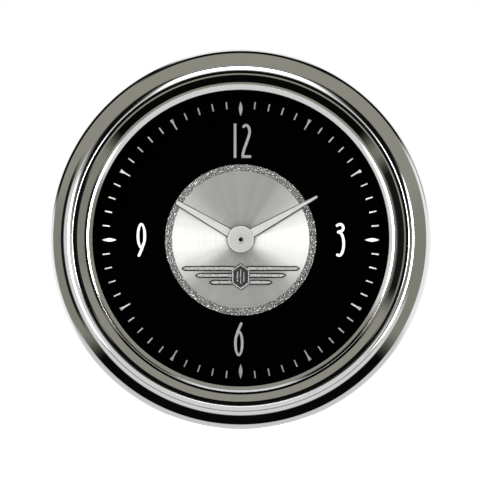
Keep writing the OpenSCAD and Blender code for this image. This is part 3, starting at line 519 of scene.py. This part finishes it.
outline = hand_outline(hour_length, hour_wide, hour_narrow, hour_angle)
hour_hand = blank("hour_blade", outline, hour_front, hour_back)
soften(hour_hand, hand_edge_width)
boss = [(0, hour_back), (hour_boss, hour_back), (hour_boss, hour_front + 0.12),
        (hour_boss - 0.12, hour_front), (0, hour_front)]
work(hour_hand, turn("hour_boss", boss, 96, ring=False), "UNION")
bore(hour_hand, hour_hole, 0.5, -2.0, 64)
smooth(hour_hand)
# The hour hand's forward faces take the paint, its bevelled edges the painted shade.
face_and_edges(hour_hand, hand_paint, hand_edge)
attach(hour_hand, "hour")
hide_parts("hour_hand")

outline = hand_outline(minute_length, minute_wide, minute_narrow, minute_angle)
minute_hand = blank("minute_blade", outline, minute_front, minute_back)
soften(minute_hand, hand_edge_width)
hub = [(0, minute_back), (hub_radius, minute_back), (hub_radius, hub_front + 0.16),
       (hub_radius - 0.07, hub_front + 0.09), (hub_radius - 0.36, hub_front), (0, hub_front)]
work(minute_hand, turn("minute_hub", hub, 128, ring=False), "UNION")
bore(minute_hand, minute_hole, 0.5, -3.0, 64)
smooth(minute_hand)
# The minute hand's forward faces take the paint, its bevelled edges the painted shade.
face_and_edges(minute_hand, hand_paint, hand_edge)

# Burnished hub: the same paint rubbed a little darker on the raised centre.
hub_paint = finish("burnished_hub_paint", 0.1, "#767674", "#80807E", 0.4, 0.5, 0.0005, Metallic=0.0)
minute_hand.data.materials.append(hub_paint)
for facet in minute_hand.data.polygons:
    if facet.center.y < (hub_front + 0.02) * MM:
        facet.material_index = 2
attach(minute_hand, "minute")
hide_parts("minute_hand")


# Trim ring, seal and glass: a black moulded spacer on the dial's rim, a rubber seal of angled
# section, and a flat disc of clear float glass.

# Moulded black ABS: matt, and dark enough to be lost beside the dial.
trim_plastic = finish("moulded_black_abs", 0.3, "#030303", "#060606", 0.45, 0.6, 0.003, Metallic=0.0,
                      **{"Specular IOR Level": 0.1})
dress(trim_plastic, "trim_ring")

# Seal rubber: dull charcoal.
seal_rubber = finish("black_seal_rubber", 0.4, "#0C0C0C", "#171717", 0.7, 0.85, 0.01, Metallic=0.0)
dress(seal_rubber, "lens_gasket")

# Bloomed float glass: clear seen head on, where the bloom takes away the share of light that bare
# glass would mirror, with a faint reflection that grows towards grazing views.
bloom = 0.0126
float_glass = bpy.data.materials.new("clear_float_glass")
float_glass.use_nodes = True
tree = float_glass.node_tree
tree.nodes.clear()
place = put(tree, "ShaderNodeTexCoord").outputs["Object"]
ripple = put(tree, "ShaderNodeTexNoise", {"Scale": 1 / (9 * MM)}, {"Vector": place})
haze = put(tree, "ShaderNodeMapRange", {"To Min": 0.0, "To Max": 0.02}, {"Value": ripple.outputs["Fac"]})
sheen = put(tree, "ShaderNodeBsdfGlossy", {"Color": (1, 1, 1, 1)}, {"Roughness": haze.outputs["Result"]})
through = put(tree, "ShaderNodeBsdfTransparent", {"Color": (1, 1, 1, 1)})
mirror = put(tree, "ShaderNodeFresnel", {"IOR": 1.25})
mirror = put(tree, "ShaderNodeMath", {1: bloom}, {0: mirror.outputs["Fac"]}, operation="SUBTRACT",
             use_clamp=True)
both = put(tree, "ShaderNodeMixShader", links={0: mirror.outputs[0], 1: through.outputs["BSDF"],
                                               2: sheen.outputs["BSDF"]})
put(tree, "ShaderNodeOutputMaterial", links={"Surface": both.outputs["Shader"]})
dress(float_glass, "lens")


# Bezel: a ring spun from brass sheet and chromed. From outside in it has a straight skirt, a
# broad outer roll with a flattened crest, a bead and a flat inner lip; the rear lip is crimped in.
bezel_radius, bezel_edge, bezel_wall, crimp_radius, bezel_inside = 30.15, 0.2, 0.8, 27.55, 29.35
roll_wide, roll_deep, roll_back, roll_end = 3.05, 4.387, -3.0, 84.36
crest, crest_start, crest_rise = -7.4, 27.05, 0.0063
bead_end, bead_foot = (25.22, -6.92), 0.0867
lip_start, lip_step = (24.27, -6.79), 0.073

section = [(crimp_radius, 0.0)]
section += arc((bezel_radius - bezel_edge, -bezel_edge), bezel_edge, bezel_edge, 90, 0, 4)
section += arc((bezel_radius - roll_wide, roll_back), roll_wide, -roll_deep, 0, roll_end, 34)
# A small step up to the crest, which is almost flat and falls off inwards into a narrow groove.
section += [(27.24, -7.22), (27.235, -7.3828), (27.19, -7.3864), (27.145, -7.3894), (27.1, -7.3918)]
section += [(crest_start - 0.05 * i, crest + crest_rise * (1 - i / 9) ** 2) for i in range(10)]
section += [(26.54, -7.395), (26.48, -7.385), (26.44, -7.36), (26.42, -7.3), (26.41, -6.8), (26.3, -6.8)]
# The bead, with a hollow inner side that ends in a second groove.
section += [(26.26, -6.99), (25.8, -7.23), bead_end]
section += [(bead_end[0] - bead_foot * i, bead_end[1] + bead_foot * i * (0.53 + 0.02 * i))
            for i in range(1, 7)]
section += [(24.66, -6.58), (24.32, -6.78), (24.29, -6.79)]
# The inner lip, dished a little more towards its rounded edge, and back inside to the crimp.
section += [(lip_start[0] - lip_step * i, lip_start[1] + 0.0096 * i + 0.00058 * i * i) for i in range(11)]
section += arc((23.54, -6.475), 0.14, -0.16, 100, 180, 6)
section += [(23.55, -5.6), (24.2, -3.8), (bezel_inside, -3.8), (bezel_inside, -bezel_wall),
            (crimp_radius, -bezel_wall)]
bezel = turn("spun_bezel", section, 400)
smooth(bezel, 24)

# Bright chrome on polished brass: a near mirror with the faintest polishing haze.
bright_chrome = finish("bright_chrome_plate", 1.5, "#DCDDDD", "#E6E7E6", 0.012, 0.03, 0.0, Metallic=1.0)

# Groove chrome: left unpolished where no polishing mop reaches, and painted near black as shade in the narrow
# grooves.
groove_chrome = finish("unpolished_groove_chrome", 0.2, "#0C0C0C", "#1A1A19", 0.3, 0.45, 0.001, Metallic=1.0)
bezel.data.materials.append(bright_chrome)
bezel.data.materials.append(groove_chrome)
# The faces in the narrow grooves beside the crest and the lip get the painted shade.
for facet in bezel.data.polygons:
    out, deep = math.hypot(facet.center.x, facet.center.z) / MM, facet.center.y / MM
    beside_crest = 26.26 < out < 26.475 and -7.38 < deep < -6.7
    beside_lip = 24.66 < out < 24.71 and -6.65 < deep < -6.4
    facet.material_index = 1 if beside_crest or beside_lip else 0
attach(bezel, "housing")
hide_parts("bezel")


# Studs and jam nuts: two lengths of M4 threaded rod screwed into the movement's posts, each locked
# against the case by a hexagon nut with chamfered corners. Bright zinc plate.
pitch, thread_crest, thread_root, threads = 0.7, 2.0, 1.66, 23
stud_front, thread_front, stud_end, nut_back = 17.0, 33.0, 50.0, 33.2
nut_corner, nut_face, tapped_radius = 4.0, 3.55, 2.02

# Bright zinc plate: pale blue-grey and softly mottled.
zinc_plate = finish("bright_zinc_plate", 0.7, "#A9ABA8", "#C5C7C6", 0.28, 0.42, 0.006, Metallic=1.0)


def again(piece, name, shift):
    """A copy of a piece with its own mesh, moved along X in the mesh."""
    take(piece)
    bpy.ops.object.duplicate()
    copy = bpy.context.object
    copy.name = name
    copy.data.name = name
    bpy.ops.object.mode_set(mode="EDIT")
    bpy.ops.mesh.select_all(action="SELECT")
    bpy.ops.transform.translate(value=(shift * MM, 0, 0))
    clear_selection()
    return copy


def pair(piece, name, made, body, node):
    """Finishes a piece that sits on the left stud, and its copy on the right one."""
    piece.data.materials.append(made)
    for part in (piece, again(piece, name, right_stud[0] - left_stud[0])):
        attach(part, body)
        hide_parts(node)


rod = [(0, stud_front), (thread_crest, stud_front), (thread_crest, thread_front)]
for i in range(threads):
    start = thread_front + 0.1 + pitch * i
    rod += [(thread_root, start + 0.2), (thread_root, start + 0.3), (thread_crest, start + 0.55),
            (thread_crest, start + 0.65)]
rod += [(thread_root, stud_end - 0.55), (1.5, stud_end), (0, stud_end)]
stud = turn("stud_left", rod, 40, left_stud, False)
smooth(stud)
pair(stud, "stud_right", zinc_plate, "housing", "mounting_studs")

hexagon = [(left_stud[0] + x, z) for x, z in arc((0, 0), nut_corner, nut_corner, 0, 300, 5)]
nut = blank("jam_nut_left", hexagon, case_back, nut_back)
chamfer = [(0, case_back - 0.1), (nut_face, case_back - 0.1), (nut_face, case_back), (4.1, case_back + 0.32),
           (4.1, nut_back - 0.32), (nut_face, nut_back), (nut_face, nut_back + 0.1), (0, nut_back + 0.1)]
work(nut, turn("nut_chamfer", chamfer, 96, left_stud, False), "INTERSECT")
bore(nut, tapped_radius, 30, 34, 40, left_stud)
smooth(nut)
pair(nut, "jam_nut_right", zinc_plate, "housing", "stud_jam_nuts")


# Clamp strap: a U bent from 1.5 mm steel strip, its feet rounded where they bear on the panel, with
# two holes for the studs. Zinc-plated.
strap_front, strip_thick, strip_wide = 34.0, 1.5, 14.0
strap_inside, foot_front, foot_round, inner_bend = 28.0, 2.5, 2.5, 1.5
strap_back, strap_outside = strap_front + strip_thick, strap_inside + strip_thick
outer_bend = inner_bend + strip_thick
bend_at = (strap_inside - inner_bend, strap_front - inner_bend)
side = [(0, strap_front)] + arc(bend_at, inner_bend, inner_bend, 90, 0, 8)
side += [(strap_inside, foot_front), (strap_outside, foot_front)]
side += arc(bend_at, outer_bend, outer_bend, 0, 90, 10)
strip = side + [(0, strap_back)] + [(-x, y) for x, y in side[:0:-1]]
strap = pull("clamp_strap", [(x, y, -strip_wide / 2) for x, y in strip], (0, 0, strip_wide))
for line in strap.data.edges:
    ends = [strap.data.vertices[i].co for i in line.vertices]
    at_foot = all(v.y < (foot_front + 0.1) * MM for v in ends)
    line.select = at_foot and abs(ends[0].z - ends[1].z) < MM
strap.data.polygons.foreach_set("select", [False] * len(strap.data.polygons))
strap.data.vertices.foreach_set("select", [False] * len(strap.data.vertices))
bpy.context.view_layer.objects.active = strap
bpy.context.tool_settings.mesh_select_mode = (False, True, False)
bpy.ops.object.mode_set(mode="EDIT")
bpy.ops.mesh.bevel(offset=foot_round * MM, segments=6)
bpy.context.tool_settings.mesh_select_mode = (True, False, False)
clear_selection()
for at in (left_stud, right_stud):
    bore(strap, 2.2, 33, 37, 48, at)
soften(strap, 0.2, 2, 50)
strap.data.materials.append(zinc_plate)
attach(strap, "clamp")
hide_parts("bracket")


# Washers and thumb nuts: flat punched steel washers, zinc-plated, under straight-knurled thumb nuts
# turned from brass bar with a collar and a dished rear face.
washer_hole, washer_radius, washer_back, washer_edge = 2.15, 4.2, 36.3, 0.1
thumb_radius, thumb_ridges, thumb_front, thumb_back = 5.0, 28, 37.5, 41.3

washer = [(washer_hole, strap_back + washer_edge), (washer_hole + washer_edge, strap_back),
          (washer_radius - washer_edge, strap_back), (washer_radius, strap_back + washer_edge),
          (washer_radius, washer_back - washer_edge), (washer_radius - washer_edge, washer_back),
          (washer_hole + washer_edge, washer_back), (washer_hole, washer_back - washer_edge)]
flat_washer = turn("washer_left", washer, 64, left_stud)
smooth(flat_washer)
pair(flat_washer, "washer_right", zinc_plate, "clamp", "bracket_washers")


def knurl(name, radius, ridges, front, back, at):
    """A straight-knurled barrel."""
    rim = []
    for i in range(ridges):
        for share, depth in ((0.0, 0.94), (0.2, 0.94), (0.45, 1.0), (0.75, 1.0)):
            turned = 2 * math.pi * (i + share) / ridges
            rim.append((at[0] + radius * depth * math.cos(turned), at[1] + radius * depth * math.sin(turned)))
    return blank(name, rim, front, back)


thumb = knurl("thumb_nut_left", thumb_radius, thumb_ridges, thumb_front, thumb_back, left_stud)
barrel = [(0, thumb_front - 0.1), (4.55, thumb_front - 0.1), (4.55, thumb_front), (5.05, thumb_front + 0.45),
          (5.05, thumb_back - 0.45), (4.5, thumb_back), (4.5, thumb_back + 0.1), (0, thumb_back + 0.1)]
work(thumb, turn("thumb_chamfer", barrel, 96, left_stud, False), "INTERSECT")
collar = [(0, washer_back), (3.4, washer_back), (3.5, washer_back + 0.1), (3.5, thumb_front + 0.4),
          (0, thumb_front + 0.4)]
work(thumb, turn("thumb_collar", collar, 64, left_stud, False), "UNION")
dish = [(0, thumb_back - 0.4), (3.0, thumb_back - 0.4), (3.6, thumb_back + 0.2), (0, thumb_back + 0.2)]
work(thumb, turn("thumb_dish", dish, 64, left_stud, False), "DIFFERENCE")
bore(thumb, tapped_radius, 35, 42, 40, left_stud)
smooth(thumb)
pair(thumb, "thumb_nut_right", plate_brass, "clamp", "thumb_nuts")


# Setting knob: the grip at the rear that turns the hands, moulded in black nylon with a ribbed side
# and a dished end, and pushed on the stem.
knob_radius, knob_ridges, knob_front, knob_back, knob_end = 4.5, 30, 32.6, 38.6, 39.1

# Moulded black nylon: charcoal with a fine matt texture.
fitting_plastic = finish("moulded_black_nylon", 0.4, "#121212", "#1C1C1C", 0.45, 0.58, 0.008, Metallic=0.0)
knob = knurl("setting_knob", knob_radius, knob_ridges, knob_front, knob_back, stem_at)
grip = [(0, knob_front - 0.1), (4.2, knob_front - 0.1), (4.2, knob_front), (4.55, knob_front + 0.35),
        (4.55, knob_back - 0.9), (3.9, knob_back), (3.9, knob_back + 0.1), (0, knob_back + 0.1)]
work(knob, turn("knob_chamfer", grip, 96, stem_at, False), "INTERSECT")
dished = [(0, knob_end - 0.9), (3.6, knob_end - 0.9), (3.6, knob_end - 0.15), (3.45, knob_end),
          (2.9, knob_end), (2.5, knob_end - 0.25), (0, knob_end - 0.3)]
work(knob, turn("knob_end", dished, 64, stem_at, False), "UNION")
bore(knob, 1.0, 32, 37.6, 32, stem_at)
smooth(knob)
knob.data.materials.append(fitting_plastic)
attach(knob, "setting")
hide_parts("set_knob")


# Terminals: a moulded black block pushed into the case floor, its flange rounded and sunk a little
# round each of two 6.3 mm brass push-on blades with chamfered ends and a detent hole.
blade_gap, blade_thick, blade_half, blade_end, blade_slant = 6.0, 0.8, 3.15, 40.0, 1.1
tail_front, tail_half, tail_back, detent_at = 21.1, 1.0, 28.2, 36.5
block_back = 32.5
blade_places = {"left": block_at[0] - blade_gap / 2, "right": block_at[0] + blade_gap / 2}


def plate_outline(at, wide, high, radius):
    """A rectangle with rounded corners."""
    corners = []
    for sx, sz, start in ((1, 1, 0), (-1, 1, 90), (-1, -1, 180), (1, -1, 270)):
        centre = (at[0] + sx * (wide / 2 - radius), at[1] + sz * (high / 2 - radius))
        corners += arc(centre, radius, radius, start, start + 90, 5)
    return corners


block = blank("terminal_moulding", plate_outline(block_at, 12.6, 10.4, 1.4), case_back, block_back)
soften(block, 0.3, 3, 50)
work(block, blank("block_body", plate_outline(block_at, 10.6, 8.6, 0.6), tail_back, case_back + 0.5), "UNION")
for x in blade_places.values():
    pocket = plate_outline((x, block_at[1]), 2.2, 7.7, 0.5)
    work(block, blank("block_pocket", pocket, block_back - 0.4, behind_floor), "DIFFERENCE")
    slot = plate_outline((x, block_at[1]), blade_thick + 0.02, 2 * blade_half + 0.02, 0.05)
    work(block, blank("block_slot", slot, before_floor, behind_floor), "DIFFERENCE")
smooth(block)
block.data.materials.append(fitting_plastic)
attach(block, "housing")
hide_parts("terminal_block")

edge_line = [(tail_front, tail_half), (tail_back, tail_half), (tail_back, blade_half),
             (blade_end - blade_slant, blade_half), (blade_end, 2.0)]
tongue = [(y, -z) for y, z in edge_line] + edge_line[::-1]
for hand, x in blade_places.items():
    corners = [(x - blade_thick / 2, y, block_at[1] + z) for y, z in tongue]
    blade = pull("blade_" + hand, corners, (blade_thick, 0, 0))
    bpy.ops.mesh.primitive_cylinder_add(vertices=32, radius=0.9 * MM, depth=4 * MM,
                                        rotation=(0, math.pi / 2, 0),
                                        location=(x * MM, detent_at * MM, block_at[1] * MM))
    work(blade, bpy.context.object, "DIFFERENCE")
    soften(blade, 0.12)
    blade.data.materials.append(plate_brass)
    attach(blade, "housing")
    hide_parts("blade_terminals")


# Lamp holder: a moulded black twist-in socket with a flange, two bayonet ears inside the case floor
# and a finger bar across its end; the small wedge-base bulb sits in its front.
socket_front, socket_radius, flange_seat, flange_end = 27.2, 4.5, 31.05, 32.3
neck_radius, neck_end, bar_end = 2.4, 35.0, 36.0

base = [(0, socket_front), (socket_radius - 0.2, socket_front), (socket_radius, socket_front + 0.2),
        (socket_radius, flange_seat), (6.0, flange_seat)]
base += arc((5.8, flange_end - 0.3), 0.3, 0.3, 0, 90, 4)
base += [(neck_radius + 0.4, flange_end), (neck_radius + 0.1, flange_end + 0.15),
         (neck_radius, flange_end + 0.5), (neck_radius, neck_end - 0.2), (neck_radius - 0.2, neck_end),
         (0, neck_end)]
socket = turn("lamp_holder", base, 96, lamp_at, False)


def bar_outline(radius, half):
    """A bar of the given half height with ends rounded to a circle about the lamp's axis."""
    lean = math.degrees(math.asin(half / radius))
    right_end = arc(lamp_at, radius, radius, -lean, lean, 6)
    return right_end + arc(lamp_at, radius, radius, 180 - lean, 180 + lean, 6)


finger_bar = blank("lamp_bar", bar_outline(5.5, 1.2), flange_end - 0.5, bar_end)
soften(finger_bar, 0.35, 3, 50)
work(socket, finger_bar, "UNION")
work(socket, blank("lamp_ears", bar_outline(5.9, 1.7), 29.0, 30.15), "UNION")
bore(socket, 1.81, 26, 29.7, 40, lamp_at)
smooth(socket)
socket.data.materials.append(fitting_plastic)
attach(socket, "lamp")
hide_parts("lamp_socket")

# Blown bulb glass: warm white and very smooth.
bulb_glass = finish("blown_bulb_glass", 3.0, "#F2EEDD", "#F8F5EA", 0.03, 0.06, 0.0, Metallic=0.0)
dress(bulb_glass, "lamp_bulb")


# Studio: what stands round the clock for its picture. A floor of white card, a wide soft light, and a
# pale room with dark flags that the chrome shows.
floor_below, floor_size = 30.3, 3.0
key_at, key_size, key_watts = (-0.2, -0.4, 0.5), 0.5, 21.0
key_lean, key_swing = 41.8, -26.6
side_soft, all_round = 6, 180

clear_selection()
bpy.ops.mesh.primitive_plane_add(size=floor_size, location=(0, 0, -floor_below * MM))
floor = bpy.context.object
floor.name = "studio_floor"

# White studio card: matt, lit so evenly that it has no shade.
floor_card, tree, shader, place = start_finish("white_studio_card", Metallic=0.0,
                                               **{"Emission Color": (1, 1, 1, 1), "Emission Strength": 1.0})
vary(tree, shader, place, 8.0, "#F6F6F6", "#FBFBFB", 0.8, 0.9, 0.0)
floor.data.materials.append(floor_card)
floor.visible_glossy = False

clear_selection()
bpy.ops.object.light_add(type="AREA", location=key_at)
key = bpy.context.object
key.name = "soft_key"
key.data.size = key_size
key.data.energy = key_watts
key.rotation_euler = (math.radians(key_lean), 0, math.radians(key_swing))
key.visible_glossy = False

room = bpy.data.worlds.new("studio_room")
bpy.context.scene.world = room
room.use_nodes = True
tree = room.node_tree
tree.nodes.clear()
toward = put(tree, "ShaderNodeTexCoord").outputs["Generated"]
axes = put(tree, "ShaderNodeSeparateXYZ", links={"Vector": toward})
front = put(tree, "ShaderNodeMath", {1: -1.0}, {0: axes.outputs["Y"]}, operation="MULTIPLY")
polar = put(tree, "ShaderNodeMath", links={0: front.outputs[0]}, operation="ARCCOSINE")
share = put(tree, "ShaderNodeMath", {1: 1 / math.pi}, {0: polar.outputs[0]}, operation="MULTIPLY")
across = put(tree, "ShaderNodeCombineXYZ", links={"X": axes.outputs["X"], "Z": axes.outputs["Z"]})
unit = put(tree, "ShaderNodeVectorMath", links={0: across.outputs["Vector"]}, operation="NORMALIZE")


def card(behind, level, azimuth, half, near, far, soft=3.0):
    """Hangs a card or flag in the room: its brightness, its azimuth clockwise from the top, its half
    width, its nearest and farthest angle from the camera's axis and its soft edge, in degrees."""
    a = math.radians(azimuth)
    facing = put(tree, "ShaderNodeVectorMath", {1: (math.sin(a), 0, math.cos(a))},
                 {0: unit.outputs["Vector"]}, operation="DOT_PRODUCT").outputs["Value"]
    low, high = math.cos(math.radians(half + side_soft)), math.cos(math.radians(half - side_soft))
    if half == all_round:
        low, high = -3.0, -2.0
    borders = [(facing, low, high),
               (share.outputs[0], (near - soft / 2) / 180, (near + soft / 2) / 180),
               (share.outputs[0], (far + soft / 2) / 180, (far - soft / 2) / 180)]
    within, begins, ends = [put(tree, "ShaderNodeMapRange", {"From Min": low, "From Max": high},
                                {"Value": value}, interpolation_type="SMOOTHSTEP").outputs["Result"]
                            for value, low, high in borders]
    spot = put(tree, "ShaderNodeMath", links={0: within, 1: begins}, operation="MULTIPLY")
    spot = put(tree, "ShaderNodeMath", links={0: spot.outputs[0], 1: ends}, operation="MULTIPLY")
    return put(tree, "ShaderNodeMix", {"B": (*level, 1.0)}, {"Factor": spot.outputs[0], "A": behind},
               data_type="RGBA").outputs["Result"]


def grey(level):
    """A colour without a tint."""
    return (level, level, level)


# Pale grey walls with a white backdrop behind the clock, and a lighter wall above.
backing = put(tree, "ShaderNodeMapRange", {"From Min": 130 / 180, "From Max": 138 / 180},
              {"Value": share.outputs[0]}, interpolation_type="SMOOTHSTEP").outputs["Result"]
walls = put(tree, "ShaderNodeMix", {"A": (0.27, 0.265, 0.225, 1.0), "B": (1.0, 1.0, 1.0, 1.0)},
            {"Factor": backing}, data_type="RGBA").outputs["Result"]
walls = card(walls, (0.33, 0.32, 0.275), 0, 75, 24, 140)
# Black flags behind the clock, above it and to both sides, which draw the roll's dark outer line.
walls = card(walls, grey(0.003), 0, 30, 117, 138)
walls = card(walls, grey(0.003), 48, 28, 124, 147)
walls = card(walls, grey(0.003), 312, 28, 129, 157)
# White cards behind the clock, on the right and below, for the bright skirt.
walls = card(walls, grey(1.0), 90, 30, 116, 140)
walls = card(walls, grey(0.7), 180, 62, 118, 190)
# A black table edge below, a pale table in front of it and a narrow flag on the left.
walls = card(walls, grey(0.003), 180, 56, 48, 119)
walls = card(walls, grey(0.8), 200, 92, 0, 44)
walls = card(walls, grey(0.01), 270, 26, 48, 70)
# A lamp over the camera with a dark gap in it, and a flag on each side of it, for the crest.
walls = card(walls, grey(0.95), 0, 20, 0, 21)
walls = card(walls, grey(0.01), 0, 24, 9, 15, 2.0)
walls = card(walls, grey(4.2), 0, 14, 0, 9, 2.0)
walls = card(walls, grey(0.005), 40, 16, 0, 20)
walls = card(walls, grey(0.005), 325, 14, 0, 24)
# A pale wall on the left, and a strip light on each side of the camera for the disc's bright fans.
walls = card(walls, grey(0.8), 270, 32, 0, 32)
walls = card(walls, grey(10.0), 270, 25, 8, 19, 1.5)
walls = card(walls, grey(10.0), 90, 25, 8, 19, 1.5)
# A pale card round the lens, with two dim slits in it.
walls = card(walls, grey(0.8), 0, all_round, -10, 3.5, 0.6)
walls = card(walls, grey(0.1), 0, 40, 3.5, 4.6, 0.6)
walls = card(walls, grey(0.2), 45, 28, 2.0, 3.8, 0.6)

# The camera itself sees plain white behind the clock.
lit = put(tree, "ShaderNodeBackground", {"Strength": 1.0}, {"Color": walls})
plain = put(tree, "ShaderNodeBackground", {"Color": (1, 1, 1, 1), "Strength": 1.0})
seen = put(tree, "ShaderNodeLightPath")
backdrop = put(tree, "ShaderNodeMixShader", links={0: seen.outputs["Is Camera Ray"],
                                                   1: lit.outputs["Background"],
                                                   2: plain.outputs["Background"]})
put(tree, "ShaderNodeOutputWorld", links={"Surface": backdrop.outputs["Shader"]})

# The camera looks slightly up at the clock from just below its axis, as the photograph does.
tilt, distance, half_picture, sensor = math.radians(-2.2), 700.0, 38.08, 36.0
aim = (-0.11, -1.5, -0.11)
view = bpy.data.cameras.new("photo_camera")
view.sensor_width = sensor
view.lens = sensor / 2 * (distance + aim[1]) / half_picture
camera = bpy.data.objects.new("photo_camera", view)
bpy.context.scene.collection.objects.link(camera)
away, drop = distance * math.cos(tilt), distance * math.sin(tilt)
camera.location = (aim[0] * MM, (aim[1] - away) * MM, (aim[2] + drop) * MM)
camera.rotation_euler = (math.radians(90) - tilt, 0, 0)
bpy.context.scene.camera = camera
bpy.context.scene.view_settings.view_transform = "Standard"
